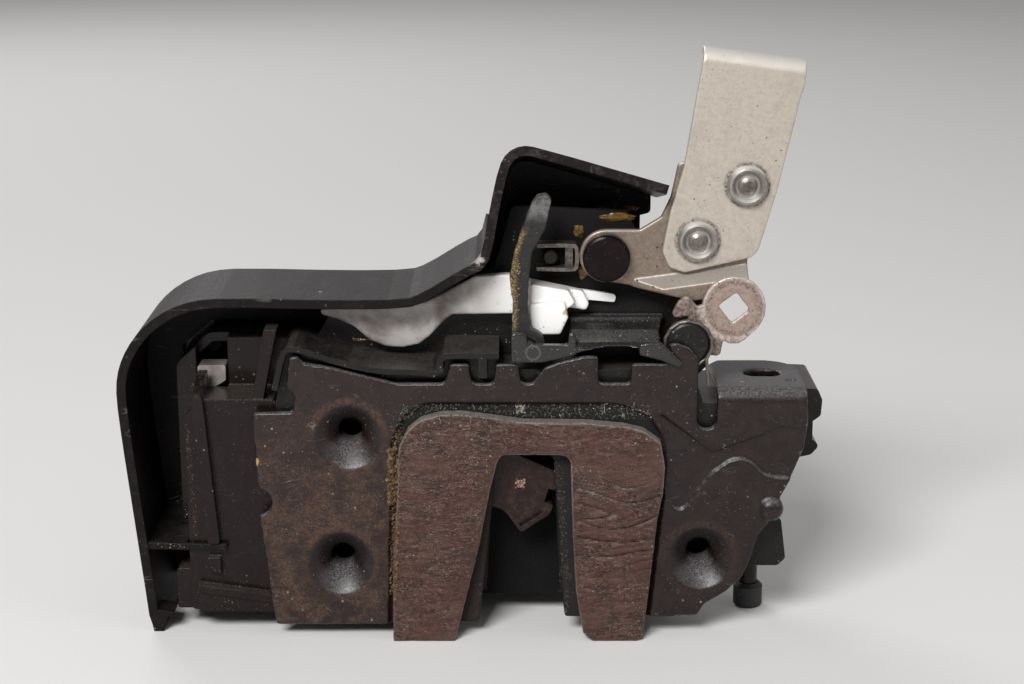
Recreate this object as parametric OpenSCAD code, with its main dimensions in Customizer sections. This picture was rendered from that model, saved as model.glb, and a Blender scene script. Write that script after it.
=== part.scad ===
/* [Face plate] */
// Thickness of the pressed steel face plate
plate_t = 1.8; // [1.4:0.1:2.2]
// Radius of each screw dimple at the face
cup_r = 7; // [6:0.1:7.5]
// Depth of each screw dimple
cup_d = 4.5; // [3.5:0.1:5]
// Core radius of the threaded screw holes (M6)
screw_r = 2.5; // [2:0.1:2.8]
// Height of the threaded collar behind each dimple
collar_h = 3.5; // [2.5:0.1:3.8]
// How far back the top flange on the right runs
flange_d = 23; // [20:0.5:24]

/* [Seal] */
// Thickness of the foam seal round the mouth
foam_t = 3.5; // [2.5:0.1:5]

/* [Rotary claw] */
// Radius of the claw's rim
claw_rim = 24.5; // [24:0.1:24.6]
// Half height of the slot that takes the striker
slot_half = 4.6; // [4.2:0.1:4.8]
// Thickness of the plastic-coated claw
claw_t = 5; // [4.4:0.1:5.2]
// Turn of the claw between open and latched, in degrees
claw_turn = 42; // [40:0.5:43]
// Radius of the claw pin
claw_pin_r = 4; // [3.5:0.1:4.5]
// Radius of the pawl pin
pawl_pin_r = 3; // [2.5:0.1:3.5]

/* [Latch frame] */
// Back face of the moulded latch frame
frame_back = 15; // [14.8:0.1:16]
// Floor of the pocket that holds the claw and the pawl
pocket_floor = 12.2; // [12:0.1:12.4]
// Wall of the moulded lips along the frame's top edge
lip_t = 1.2; // [1:0.1:1.5]

/* [Shroud] */
// Depth of the hooked band
shroud_d = 27; // [22:0.5:28]
// Wall of the hooked band
shroud_t = 1.9; // [1.5:0.1:2.4]

/* [Levers] */
// Thickness of the steel levers
lever_t = 1.6; // [1.4:0.1:1.8]
// Radius of the release lever's pivot
pivot_r = 3.2; // [2.8:0.1:3.6]
// Radius of the dark cap on that pivot
cap_r = 4.8; // [4.2:0.1:5.2]
// Outer radius of the rivet heads on the arm
rivet_r = 4.1; // [3.6:0.1:4.4]
// Outer radius of the eye on the rod lever
eye_r = 6.4; // [5.8:0.1:6.8]
// Side of the square hole in that eye
eye_hole = 4.6; // [4:0.1:5]

/* [Actuator] */
// Back face of the actuator housing
case_back = 44; // [42:0.5:46]
// Wall of the actuator housing
case_t = 2; // [1.6:0.1:2.2]
// Radius of the drive motor
motor_r = 9.5; // [8.5:0.1:9.6]

/* [Fits] */
// Radial clearance of running shafts
run_gap = 0.05; // [0.03:0.01:0.1]
// Clearance between moving flat parts
side_gap = 0.4; // [0.3:0.05:0.5]

/* [Hidden] */
$fn = 48;
floor_z = -33;

// The mouth and the plate's recess round it
throat_l = -6.1;
throat_r = 6.1;
throat_top = 6.6;
recess_d = 1;
recess_back = recess_d + plate_t;
step_d = 0.7;
cups = [[-35.5, 10.7], [-37.6, -16.5], [36.4, -15.4]];
cup_floor_r = 2.9;
collar_r = 4.4;
collar_end = cup_d + plate_t + collar_h;
cup_flare = 1.3;
plate_pin = [50.6, -4.9];
pin_head_r = 2.7;
flange_top = 20.6;
bend_r = 3;
flange_x0 = 39;
flange_x1 = 57.4;
mouth_cut = [[-9.6, floor_z - 1], [throat_l, -1.5], [throat_l, throat_top - 1], [throat_l + 1, throat_top],
    [throat_r - 1, throat_top], [throat_r, throat_top - 1], [8.5, -29], [8.6, floor_z - 1]];
plate_edge = [[-55, 15.6], [-46.8, 15.8], [-46.2, 19.2], [-48, 21.4], [-47.3, 27.2], [-45.6, 27.6],
    [-44.4, 26.1], [-38.9, 25.3], [-26, 22], [-16, 22], [-14.9, 25.9], [-11, 25.9], [-10.4, 21.9],
    [-6.2, 21.9], [-5.8, 25.9], [-1, 25.9], [-0.6, 21.9], [1.8, 21.9], [4.2, 25.2], [7.2, 26.4],
    [12.4, 27.6], [15, 27.4], [15.1, 22], [21.4, 22], [21.6, 26], [35.1, 26], [35.1, 13.7],
    [35.8, 12.6], [37, 12.2], [38.2, 12.6], [39, 13.7], [39, flange_top - bend_r],
        [flange_x1, flange_top - bend_r], [57.6, 13.1],
    [57.1, 8.2], [54.4, 1.3], [52.6, -2.2], [50, -8.2], [48.1, -10.7], [47, -15], [45.2, -19.6],
    [42.1, -22.8], [37.4, -25.8], [35.9, -28.4], [8, -29], [8, -30], [-51.3, -30.4],
    [-52.2, -25.2], [-52.6, -20.3], [-54.3, -6.3], [-54.3, -0.5]];
edge_notch = [-54.5, -3.4];
edge_notch_r = 2.9;
recess_edge = [[-28, -34], [-26.8, 9.6], [-24.2, 15.6], [-19.6, 17.8], [16.3, 17.8], [22.4, 17],
    [25.8, 14.4], [28.4, 10.2], [29.2, 4], [25.5, -34]];
step_edge = [[25.2, 17.4], [33, 11.5], [38.2, 7.3], [43.6, 9.4], [48.2, 11.1], [51.6, 12.8], [60, 13.3],
    [60, 1.7], [50.8, 1.9], [48.5, 2.8], [46.4, 5.1], [44.1, 6], [41.7, 5.4], [38.3, 2.8],
    [35.4, -0.9], [33.8, -3.7], [32.2, -5.2], [30.6, -4.6], [28, 2], [28, 12]];
foam_outer = [[-27, floor_z], [-26.8, -15.6], [-25.5, 2], [-25.4, 8.5], [-23.4, 12.7], [-20.7, 14.9],
    [-16.6, 16], [-12.5, 16.1], [-6.4, 15.3], [-0.2, 14.4], [12.1, 14.3], [20.3, 13.5], [24.3, 12.5],
    [27.7, 10], [28.6, 5], [28.4, -0.2], [27.2, -6.9], [26.4, -15.8], [25.5, -24.7], [24.6, floor_z + 0.8],
    [23.4, floor_z], [14.4, floor_z], [12.3, floor_z + 1.6], [10.8, -22.4], [10.1, -11.3], [9.5, 6.3],
    [8, 7.5], [-4.3, 7.5], [-5.3, 6.3], [-6.9, -0.2], [-8.9, -11.3], [-11, -20.2], [-14.1, floor_z]];

// The claw and the pawl
claw_c = [-16.5, 4];
claw_y = recess_back + 0.5;
striker_dist = norm(claw_c);
latched_angle = atan2(-claw_c[1], -claw_c[0]);
open_angle = latched_angle - claw_turn;
claw_coat = 0.8;
claw_hub_r = 6.5;
tip_x = 21.5;
tip_angle = acos(tip_x / claw_rim);
fan_end = 50;
hook_r = 23.5;
heel_r = 9.2;
half_latch = 40;
pawl_c = [19.5, -8];
pawl_y = claw_y + 0.5;
pawl_t = 4;
pawl_peg = [27.5, -7];
pawl_peg_r = 2;
peg_sweep = [-18:3:2];
peg_room = pawl_peg_r + 0.6;
pawl_gap = 0.4;
back_t = 1.6;
back_y = pocket_floor - back_t;
shank_drop = 0.9;
spring_wire_r = 0.4;
back_edge = [[-27, -25], [-27.4, 2], [-26, 15], [-20, 19.4], [8, 19.4], [18, 16], [28, 9], [31.8, 2],
    [31.6, -5], [31, -12], [26.5, -16], [26.5, -25]];

// The latch frame
frame_front = recess_back;
frame_edge = [[-50.4, -28], [-50.4, 17], [-49.6, 20.8], [-47.9, 28.2], [-46.6, 29], [-43.8, 28.4],
    [-37.3, 26.1], [-29.4, 24.3], [-23.2, 24.2], [-16.6, 23.6], [-16.6, 27.4], [-5.2, 27.4], [-5.2, 24.2],
    [12, 24.2], [34, 24.2], [36.4, 17], [56, 17], [55.6, 12], [53.4, 4], [51, -2], [48.4, -9], [46, -16],
    [42, -21], [36.5, -25], [35, -27.4], [8, -28.2]];
lip_line = [[-50.2, 20.6], [-48.5, 28.1], [-46.9, 29.5], [-43.8, 28.7], [-37.3, 26.4], [-29.4, 24.6],
    [-23.2, 24.5], [-16.6, 23.9], [-17, 27.7], [-12.8, 27.9], [-5, 27.8]];
lip_front = -0.6;
wall_y = 13;
wall_t = 2;
upper_wall = [[-44, 18], [-44, 26], [-40, 33], [-20, 34], [-12, 40], [-6, 43.2], [-4.8, 47], [-2.6, 55.6],
    [21, 54.6], [24, 48], [24, 42], [30.5, 40], [38, 35], [38, 22], [34, 18]];

// The shroud
shroud_y = 3;
shroud_line = [[-76.6, floor_z], [-78.2, -30.5], [-78.6, -26], [-79.6, -16], [-80.9, -3], [-82.1, 9],
    [-82.8, 18], [-82.5, 22.5], [-81.2, 26.5], [-79, 30.2], [-75.8, 33.7], [-71.4, 36.6], [-66.3, 38.4],
    [-60, 38.9], [-37.2, 38.4], [-24, 38.6], [-20.4, 39.9], [-12.2, 45], [-9, 46.4], [-7.9, 50.8]];
hood_line = [[-8.3, 49], [-7.9, 50.8], [-6.8, 57.3], [-5, 65.6], [-3.4, 68.4], [-0.6, 69.8], [2.6, 69.4],
    [28.7, 61.8]];
hood_tilt = 12;
hood_reach = 8;
hood_back = [[-81, -29.4], [-82, 27], [-68, 37.5], [-22, 37.8], [-10.5, 44.8], [-7.8, 47.4], [-6.4, 52],
    [-5, 58.4], [-3.2, 61.2], [-0.6, 63], [2.6, 62.8], [24.6, 56.6], [24.6, 56], [26.8, 55.4],
    [26.8, 51.4], [24.6, 50.8], [24.6, 40], [4, 34], [-10, 28.2], [-66.4, 28.2], [-72.9, 22.6],
    [-73.2, 16], [-73.2, -29.4]];
hood_t = 2;
shroud_posts = [[-30, 31.5], [-1.5, 51], [17, 52]];

// The levers above the frame
pivot = [16.6, 46.4];
base_y = 8;
arm_y = base_y - lever_t;
base_edge = [[30.8, 65.3], [29.4, 58.4], [27.6, 54.4], [23.4, 51.8], [16.6, 51.8], [12, 46.4], [17.4, 41],
    [25.6, 39.6], [33, 39], [38.4, 40.4], [45.2, 43.4], [45.2, 46], [47.6, 58], [47.6, 64], [42, 67.6],
        [35, 66.8]];
arm_edge = [[35, 85.5], [55.4, 82.7], [50.7, 60.8], [47.2, 48], [45.8, 46.4], [32.4, 43.3], [29.2, 44.4],
    [27.8, 47.7], [29.3, 56.1], [31.8, 64.9]];
arm_top = norm(arm_edge[1] - arm_edge[0]);
arm_slope = atan2(arm_edge[0][1] - arm_edge[1][1], arm_edge[1][0] - arm_edge[0][0]);
arm_bend_r = 3;
arm_roll = 2;
rivets = [[44.5, 61.2], [34.9, 49.9]];
rivet_dish = 2.8;
link_peg = [28, 43.4];
link_x = 28;
link_y = wall_y + wall_t + 0.4;
boss_c = [33.1, 29.6];
boss_r = 4.3;
spring_r = 4.8;
spring_turns = 1.2;
spring_start = 320;
eye_wire_r = 0.35;
eye_c = [42.2, 36.8];
eye_y = 3.1;
eye_pin_r = 2.2;
eye_edge = [[29.2, 34.6], [31, 38], [32.6, 39.2], [33.6, 38.6], [34.8, 37], [36.2, 37.4], [38.4, 42],
    [48.2, 34.2],
    [44.6, 30.2], [43.2, 29.4], [41.4, 29.4], [40.2, 30], [39.6, 26.8], [37, 27], [33, 31], [33, 35.2]];

// The locking side
lock_y = 9;
lock_t = 2.4;
lock_edge = [[-44, 34.6], [-38.1, 33], [-34.8, 31.5], [-31.6, 28.6], [-28.2, 27.2], [-24.8, 27],
    [-21.4, 27.7], [-19.2, 29.4], [-16.3, 32.6], [-14.6, 33.9], [1, 34.2], [9.2, 35.4], [12.9, 34.8],
    [13.3, 36.4], [12, 38.9], [1.1, 41.2], [-3, 42.4], [-10, 42], [-20, 36.6], [-36, 36.4]];
sill_c = [0.9, 29.2];
sill_y = 1.8;
sill_t = 3;
sill_edge = [[-2.5, 28], [-2.3, 38.6], [-2.9, 43.1], [-1.9, 48.4], [-0.3, 53.5], [1.4, 58], [2.6, 59.8],
    [4.4, 60.2], [5.4, 59.2], [4.2, 53.2], [1.6, 48.4], [0.9, 42.4], [0.8, 37.6], [1.2, 33], [3.6, 29]];

// The actuator
case_l = -72.4;
front_l = -69.4;
case_r = -50.4;
case_low = -28.4;
case_top = 17.4;
case_front = 4;
rear_y = frame_back;
rear_low = -28.4;
rear_r = 22;
rear_edge = [[case_l, rear_low], [case_l, 22], [-66, 27.6], [-22, 27.6], [-14, 20], [rear_r, 20],
    [rear_r, rear_low]];
rib_h = 1.6;
motor_c = [-60.4, 28];
wheel_c = [-44.1, 9.5];
wheel_t = 4;
wheel_pin_r = 2;
lid_t = 2;
lid_y = case_back - lid_t;
cover_screws = [[-68, -24], [-68, 20], [-26, 23.4], [17.8, 15.8], [17.8, -24], [-26, -24]];
motor_low = -25.4;
motor_len = 22;
hub_half = 4.6;
worm_r = 3.6;
worm_turns = 7;
worm_pitch = 2;
worm_len = worm_turns * worm_pitch + 1;
wheel_r = wheel_c[0] - motor_c[0] - worm_r - 0.3;
shaft_r = 1.2;
slider_y = 14;
slider_t = 5;
switch_at = [-30, -22];
switch_size = [12.8, 6.5];
switch_t = 6;
button_size = [2.4, 1.4];

// The connector and the foot at the right rear
plug_back = 34;
plug_edge = [[33.4, -14], [33.4, 14.6], [56, 16.6], [61.6, 16.4], [62.6, 14], [62.4, 10.6], [60.8, 9.4],
    [60.8, 5.4], [62.4, 4], [60.6, 2], [56, 1], [53, -8], [52.4, -14]];
plug_wall = 5;
pin_cols = [40, 43, 46, 49];
pin_rows = [-3, 3];
pin_size = [0.6, 9, 1.6];
plug_hole = [[37, -9], [37, 9], [53, 10.6], [51, -9]];
foot_at = [48.6, 18];
foot_r = 1.9;

// Sheet whose front face is at y and whose outline lies in the width and height plane
module sheet(y, t) {
    translate([0, y + t, 0]) rotate([90, 0, 0]) linear_extrude(t) children();
}

// Rod running straight back from y
module rod(at, r, y, len) {
    translate([at[0], y, at[1]]) rotate([-90, 0, 0]) cylinder(r = r, h = len);
}

// Turned part round an axis that runs straight back from y
module turned(at, y) {
    translate([at[0], y, at[1]]) rotate([-90, 0, 0]) rotate_extrude() children();
}

// Section in the depth and height plane, drawn out along the width
module along_x(x, w) {
    translate([x, 0, 0]) rotate([90, 0, 90]) linear_extrude(w) children();
}

// Plan outline drawn out along the height
module along_z(z, h) {
    translate([0, 0, z]) linear_extrude(h) children();
}

// Outline with its outward corners rounded
module soft(r) {
    offset(r = r, $fn = 24) offset(delta = -r) children();
}

// Outline with its inward corners rounded
module fillet(r) {
    offset(delta = -r) offset(r = r, $fn = 24) children();
}

function arc(c, r, a0, a1, n) = [for (i = [0:n]) c + r * [cos(a0 + (a1 - a0) * i / n),
    sin(a0 + (a1 - a0) * i / n)]];
function unit(v) = v / norm(v);
function side(a, b) = [-unit(b - a)[1], unit(b - a)[0]];
function mitre(a, b, c) = (side(a, b) + side(b, c)) / (1 + side(a, b) * side(b, c));
function shift_line(p, d) = [for (i = [0:len(p) - 1])
    i == 0 ? p[0] + d * side(p[0], p[1])
    : i == len(p) - 1 ? p[i] + d * side(p[i - 1], p[i])
    : p[i] + d * mitre(p[i - 1], p[i], p[i + 1])];
function reversed(p) = [for (i = [len(p) - 1:-1:0]) p[i]];
// One pass of corner cutting along an open line
function eased(p) = concat([p[0]],
    [for (i = [0:len(p) - 2]) each [0.75 * p[i] + 0.25 * p[i + 1], 0.25 * p[i] + 0.75 * p[i + 1]]],
    [p[len(p) - 1]]);
function band(p, from, to) = concat(shift_line(p, from), reversed(shift_line(p, to)));
function rings(path, r, n) = [for (i = [0:len(path) - 1])
    let (a = path[max(i - 1, 0)], b = path[min(i + 1, len(path) - 1)], t = unit(b - a),
        u = unit(cross(t, abs(t[1]) > 0.8 ? [0, 0, 1] : [0, 1, 0])), v = cross(t, u))
    each [for (k = [0:n - 1]) path[i] + r * (cos(360 * k / n) * u + sin(360 * k / n) * v)]];

// Round wire swept along a path of points
module wire(path, r, n = 8) {
    last = (len(path) - 1) * n;
    polyhedron(rings(path, r, n), concat(
        [[for (k = [0:n - 1]) k]],
        [for (i = [0:len(path) - 2]) for (k = [0:n - 1])
            [i * n + k, (i + 1) * n + k, (i + 1) * n + (k + 1) % n, i * n + (k + 1) % n]],
        [[for (k = [n - 1:-1:0]) last + k]]), convexity = 8);
}

// Points of a coil whose axis runs straight back from y
function coil(c, r, y, pitch, turns, start, n = 14) = [for (i = [0:turns * n])
    let (a = start + 360 * i / n) [c[0] + r * cos(a), y + pitch * i / n, c[1] + r * sin(a)]];

module plate_outline() {
    difference() {
        soft(0.7) polygon(plate_edge);
        polygon(mouth_cut);
        translate(edge_notch) circle(r = edge_notch_r);
    }
}

module recess_outline() {
    soft(2) polygon(recess_edge);
}

module step_outline() {
    soft(0.8) fillet(0.8) polygon(step_edge);
}

module cup_shell(at) {
    turned(at, 0) polygon([[0, 0.5], [cup_r + cup_flare, 0.5], [cup_floor_r + plate_t, cup_d + plate_t],
        [collar_r, cup_d + plate_t], [collar_r, collar_end], [0, collar_end]]);
}

module cup_space(at) {
    turned(at, 0) polygon(concat([[0, -1], [cup_r + 1, -1]],
        [for (i = [0:6]) [cup_floor_r + (cup_r - cup_floor_r) * (1 - sin(15 * i)), cup_d * i / 6]],
        [[0, cup_d]]));
    rod(at, screw_r, -1, collar_end + 2);
}

module top_flange() {
    w = flange_x1 - flange_x0;
    along_x(flange_x0, w) difference() {
        translate([bend_r, flange_top - bend_r]) circle(r = bend_r);
        translate([bend_r, flange_top - bend_r]) circle(r = bend_r - plate_t);
        translate([bend_r, -50]) square([20, 100]);
        translate([-5, flange_top - bend_r - 50]) square([20, 50]);
    }
    difference() {
        along_z(flange_top - plate_t, plate_t) polygon(concat(
            [[flange_x0, bend_r], [flange_x1, bend_r]],
            arc([flange_x1 - 7, flange_d - 7], 7, 0, 80, 8), [[flange_x0 + 2, flange_d]],
            [[flange_x0, flange_d - 3]]));
        along_z(flange_top - 5, 10) translate([49.4, 13]) hull() {
            translate([-1.2, 0]) circle(r = 2.6, $fn = 32);
            translate([1.2, 0]) circle(r = 2.6, $fn = 32);
        }
        along_z(flange_top - 5, 10) translate([53.6, 7]) square([2.4, 1]);
    }
}

module face_plate() {
    color("#2c2a2e") difference() {
        union() {
            sheet(0, plate_t) difference() {
                plate_outline();
                recess_outline();
                step_outline();
            }
            sheet(recess_d, plate_t) intersection() {
                offset(delta = 1) recess_outline();
                plate_outline();
            }
            sheet(step_d, plate_t) difference() {
                intersection() {
                    offset(delta = 1) step_outline();
                    plate_outline();
                }
                recess_outline();
            }
            for (at = cups) cup_shell(at);
            top_flange();
            // Tab that stands up in front of the spring boss
            sheet(0, 1.4) soft(0.4) polygon([[29, 24], [29, 30], [30.4, 30.4], [33.2, 29.3], [35.1, 27],
                [35.1, 24]]);
            turned(plate_pin, 0) polygon([[0, -1.6], [1.2, -1.45], [2.1, -0.9], [pin_head_r, 0.1],
                [pin_head_r, plate_t], [0, plate_t]]);
        }
        for (at = cups) cup_space(at);
        rod(claw_c, claw_pin_r - shank_drop, -1, 5);
        rod(pawl_c, pawl_pin_r - shank_drop, -1, 5);
    }
}

module foam_seal() {
    color("#4b3d3a") sheet(recess_d - foam_t, foam_t) polygon(foam_outer);
}

module claw_outline() {
    rim_start = [tip_x, claw_rim * sin(tip_angle)];
    hook_low = asin(slot_half / hook_r);
    soft(0.8) difference() {
        polygon(concat([[tip_x, 0], rim_start], arc([0, 0], claw_rim, tip_angle, fan_end, 8),
            arc([0, 0], heel_r, 92, 262, 14), arc([0, 0], hook_r, -36, -hook_low, 6), [[tip_x, 0]]));
        hull() {
            translate([striker_dist, 0]) circle(r = slot_half, $fn = 32);
            translate([striker_dist + 20, 0]) circle(r = slot_half, $fn = 32);
        }
        // Half-latched notch in the rim
        rotate(half_latch) translate([claw_rim - 2.2, -2.5]) square([5, 3]);
    }
}

module claw_place() {
    translate(claw_c) rotate(open_angle) children();
}

module claw_core() {
    sheet(claw_y + claw_coat, claw_t - 2 * claw_coat) claw_place() offset(delta = -claw_coat) claw_outline();
    rod(claw_c, claw_hub_r, claw_y, claw_t);
}

module claw() {
    color("#6d6a68") difference() {
        claw_core();
        rod(claw_c, claw_pin_r + run_gap, 0, 20);
    }
}

module claw_jacket() {
    color("#2a2628") difference() {
        sheet(claw_y, claw_t) claw_place() claw_outline();
        claw_core();
        // Slit that softens the tip where the striker knocks
        sheet(claw_y - 1, 1 + claw_coat) claw_place() translate([tip_x - 1.9, 5.4]) square([0.8, 5.4]);
        rod([-0.6, -0.8], 0.9, claw_y - 1, 1.4);
    }
}

module pawl_outline() {
    difference() {
        union() {
            translate(pawl_c) circle(r = 6);
            polygon(concat(arc(claw_c, claw_rim, -7.5, 4, 4), [[12.6, 6.4], [23.4, -3.4], [15.6, -12.4]]));
            polygon([[19.5, -2.4], [27.5, -4], [27.5, -10], [19.5, -13.8]]);
            translate(pawl_peg) circle(r = 3);
        }
        translate(claw_c) circle(r = claw_rim + pawl_gap, $fn = 96);
    }
}

module pawl() {
    color("#8c8985") difference() {
        union() {
            sheet(pawl_y, pawl_t) pawl_outline();
            rod(pawl_peg, pawl_peg_r, pawl_y + 1, link_y + 2 - pawl_y - 1);
        }
        rod(pawl_c, pawl_pin_r + run_gap, 0, 20);
    }
}

// Stepped pin riveted into the face plate and the back plate
module stepped_pin(at, r) {
    turned(at, recess_d) polygon([[0, 0], [r - shank_drop, 0], [r - shank_drop, plate_t], [r, plate_t],
        [r, back_y - recess_d], [r - shank_drop, back_y - recess_d],
        [r - shank_drop, pocket_floor - recess_d], [0, pocket_floor - recess_d]]);
}

module claw_pin() {
    color("#9a9793") stepped_pin(claw_c, claw_pin_r);
}

module pawl_pin() {
    color("#9a9793") stepped_pin(pawl_c, pawl_pin_r);
}

module back_plate() {
    color("#77736f") difference() {
        sheet(back_y, back_t) difference() {
            soft(2) polygon(back_edge);
            polygon([[-11.4, -34], [-8, -1.5], [-8, 11], [8, 11], [8, 4], [10.4, -34]]);
            translate(pawl_c) for (a = peg_sweep) rotate(a) translate(pawl_peg - pawl_c) circle(r = peg_room);
        }
        rod(claw_c, claw_pin_r - shank_drop, 0, 20);
        rod(pawl_c, pawl_pin_r - shank_drop, 0, 20);
    }
}

module claw_spring() {
    color("#55524f") wire(coil(claw_c, claw_pin_r + 1.5, claw_y + claw_t + 0.6, 1, 1, 200), spring_wire_r);
}

module pawl_spring() {
    color("#55524f") wire(coil(pawl_c, pawl_pin_r + 1.2, pawl_y + pawl_t + 0.6, 1, 1, 200), spring_wire_r);
}

module mouth_bumper() {
    color("#1d1c1c") sheet(back_y - 1.4, pocket_floor - back_y + 1.4)
        soft(0.8) translate([-5.4, throat_top + 0.4]) square([10.8, 3.6]);
}

module latch_frame() {
    color("#1c1b1c") difference() {
        union() {
            sheet(frame_front, frame_back - frame_front) soft(0.6) polygon(frame_edge);
            sheet(lip_front, frame_back - lip_front) polygon(band(eased(lip_line), lip_t / 2, -lip_t / 2));
            sheet(lip_front, frame_back - lip_front) translate([-9.2, 23.2]) square([1.8, 4.6]);
            // Pads that the flat of the face plate seats on
            sheet(plate_t, 2) difference() {
                polygon([[-50.4, -27.6], [-50.4, 14], [-44, 14], [-30, 20.6], [-27, 20.6], [-27, -27.6]]);
                offset(delta = 1.2) recess_outline();
            }
            sheet(wall_y, wall_t) soft(1) polygon(upper_wall);
            rod(pivot, 5, base_y + lever_t + side_gap, wall_y - base_y - lever_t);
            rod(boss_c, 3.4, 8, wall_y - 7);
            sheet(5, frame_back - 5) soft(1) polygon([[44, -8], [53.4, -8.6], [54.6, -17.4], [53, -19],
                [47.6, -19]]);
        }
        // Pocket for the claw, the pawl and the back plate
        sheet(0, pocket_floor) offset(delta = 0.15) soft(2) polygon(back_edge);
        sheet(0, pocket_floor) intersection() {
            offset(delta = 0.3) polygon(mouth_cut);
            translate([-20, -40]) square([40, 50]);
        }
        for (at = cups) {
            rod(at, cup_r + cup_flare + 0.5, 0, cup_d + plate_t + 0.4);
            rod(at, collar_r + side_gap, 0, at[0] < 0 ? frame_back + 1 : frame_back - 1);
        }
        // Channel that the pawl's peg and the transfer link work in
        sheet(pocket_floor - 1, 8) translate(pawl_c) for (a = peg_sweep)
            rotate(a) translate(pawl_peg - pawl_c) circle(r = peg_room);
        rod(pivot, pivot_r, 0, 30);
        rod(boss_c, eye_pin_r, 0, 30);
        sheet(wall_y - 1, 4) translate([link_peg[0] - 4.4, link_peg[1] - 5.2]) square([7.2, 8]);
    }
    // Lining of the mouth behind the claw
    color("#1c1b1c") for (s = [0, 1]) mirror([s, 0, 0])
        sheet(claw_y + claw_t + 0.5, pocket_floor - claw_y - claw_t - 0.4)
            polygon([[5.9, 6], [7.4, 6], [9.2, -26], [7.8, -26]]);
}

// Plastic fascia over the right half of the frame's top edge
module lever_guide() {
    front = lip_front;
    color("#19181a") difference() {
        union() {
            // Block with the moulded step
            sheet(front, sill_y - side_gap - front) soft(0.5)
                polygon([[-2.6, 26.4], [-2.6, 32.4], [0.4, 32.4], [0.8, 30], [8.6, 30], [9.2, 32.4],
                    [10.4, 32.4], [10.4, 28],
                    [6.8, 27.1], [3.6, 26.4]]);
            intersection() {
                along_x(9.2, 20.8) polygon([[front, 29.2], [1, 30.2], [8, 31.2], [10, 32.2], [10.8, 33.4],
                    [wall_y, 33.4], [wall_y, 20], [3, 20], [3, 25], [front, 25]]);
                sheet(front, wall_y - front) polygon(concat(
                    [[9.2, 34], [9.2, 27.9]], arc([18.6, 3], 26.6, 106, 60, 10), [[32.2, 26], [32.2, 34]]));
            }
            rod(sill_c, 1.5, 0, sill_y + sill_t + 0.2);
            sheet(lock_y - 3, wall_y - lock_y + 3) translate([9.2, 26.4]) square([1.4, 3]);
        }
        rod(boss_c, boss_r + 1.3, -2, 20);
    }
    // Pointed end that laps over the face plate
    color("#19181a") sheet(front - 0.6, 0.9) soft(0.3)
        polygon([[23, 30.4], [27.4, 30.8], [31.8, 26.4], [31, 25.5], [27.4, 27], [23, 28.1]]);
}

module shroud() {
    back = shroud_y + shroud_d - hood_t;
    line = eased(shroud_line);
    hood = [for (q = eased(hood_line)) [q[0], (q[1] - hood_line[0][1]) * cos(hood_tilt)]];
    color("#151415") difference() {
        union() {
            sheet(shroud_y, shroud_d) polygon(band(line, 0, -shroud_t));
            // Hood that falls away behind its front rim
            intersection() {
                translate([0, shroud_y, hood_line[0][1]]) rotate([-hood_tilt, 0, 0])
                    sheet(-hood_reach, shroud_d + 2 * hood_reach) polygon(band(hood, 0, -shroud_t));
                translate([-20, shroud_y, 40]) cube([60, shroud_d, 40]);
            }
            sheet(back, hood_t) intersection() {
                soft(1) polygon(hood_back);
                polygon(concat(shift_line(line, -shroud_t / 2), [[-7, 70], [40, 70], [40, 20], [-60, -40]]));
            }
            for (at = shroud_posts) rod(at, 2.5, wall_y + wall_t, back - wall_y - wall_t + 1);
            // Gusset between the band and the side of the actuator
            along_z(-14.8, 1.4) polygon([[-78.8, shroud_y + 0.4], [-61.4, shroud_y - 0.6],
                [-61.4, case_front - side_gap],
                [front_l - side_gap, case_front - side_gap], [front_l - side_gap, rear_y - side_gap],
                [case_l - side_gap, rear_y - side_gap], [case_l - side_gap, back + 1], [-78.4, back + 1]]);
            // Toe that the part rests on
            sheet(shroud_y, 6) polygon([[-77.4, floor_z], [-78.4, -28], [-73, -28.8], [-74.6, -30],
                [-75.4, floor_z]]);
        }
        translate([-100, -10, floor_z - 10]) cube([200, 100, 10]);
    }
}

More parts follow.
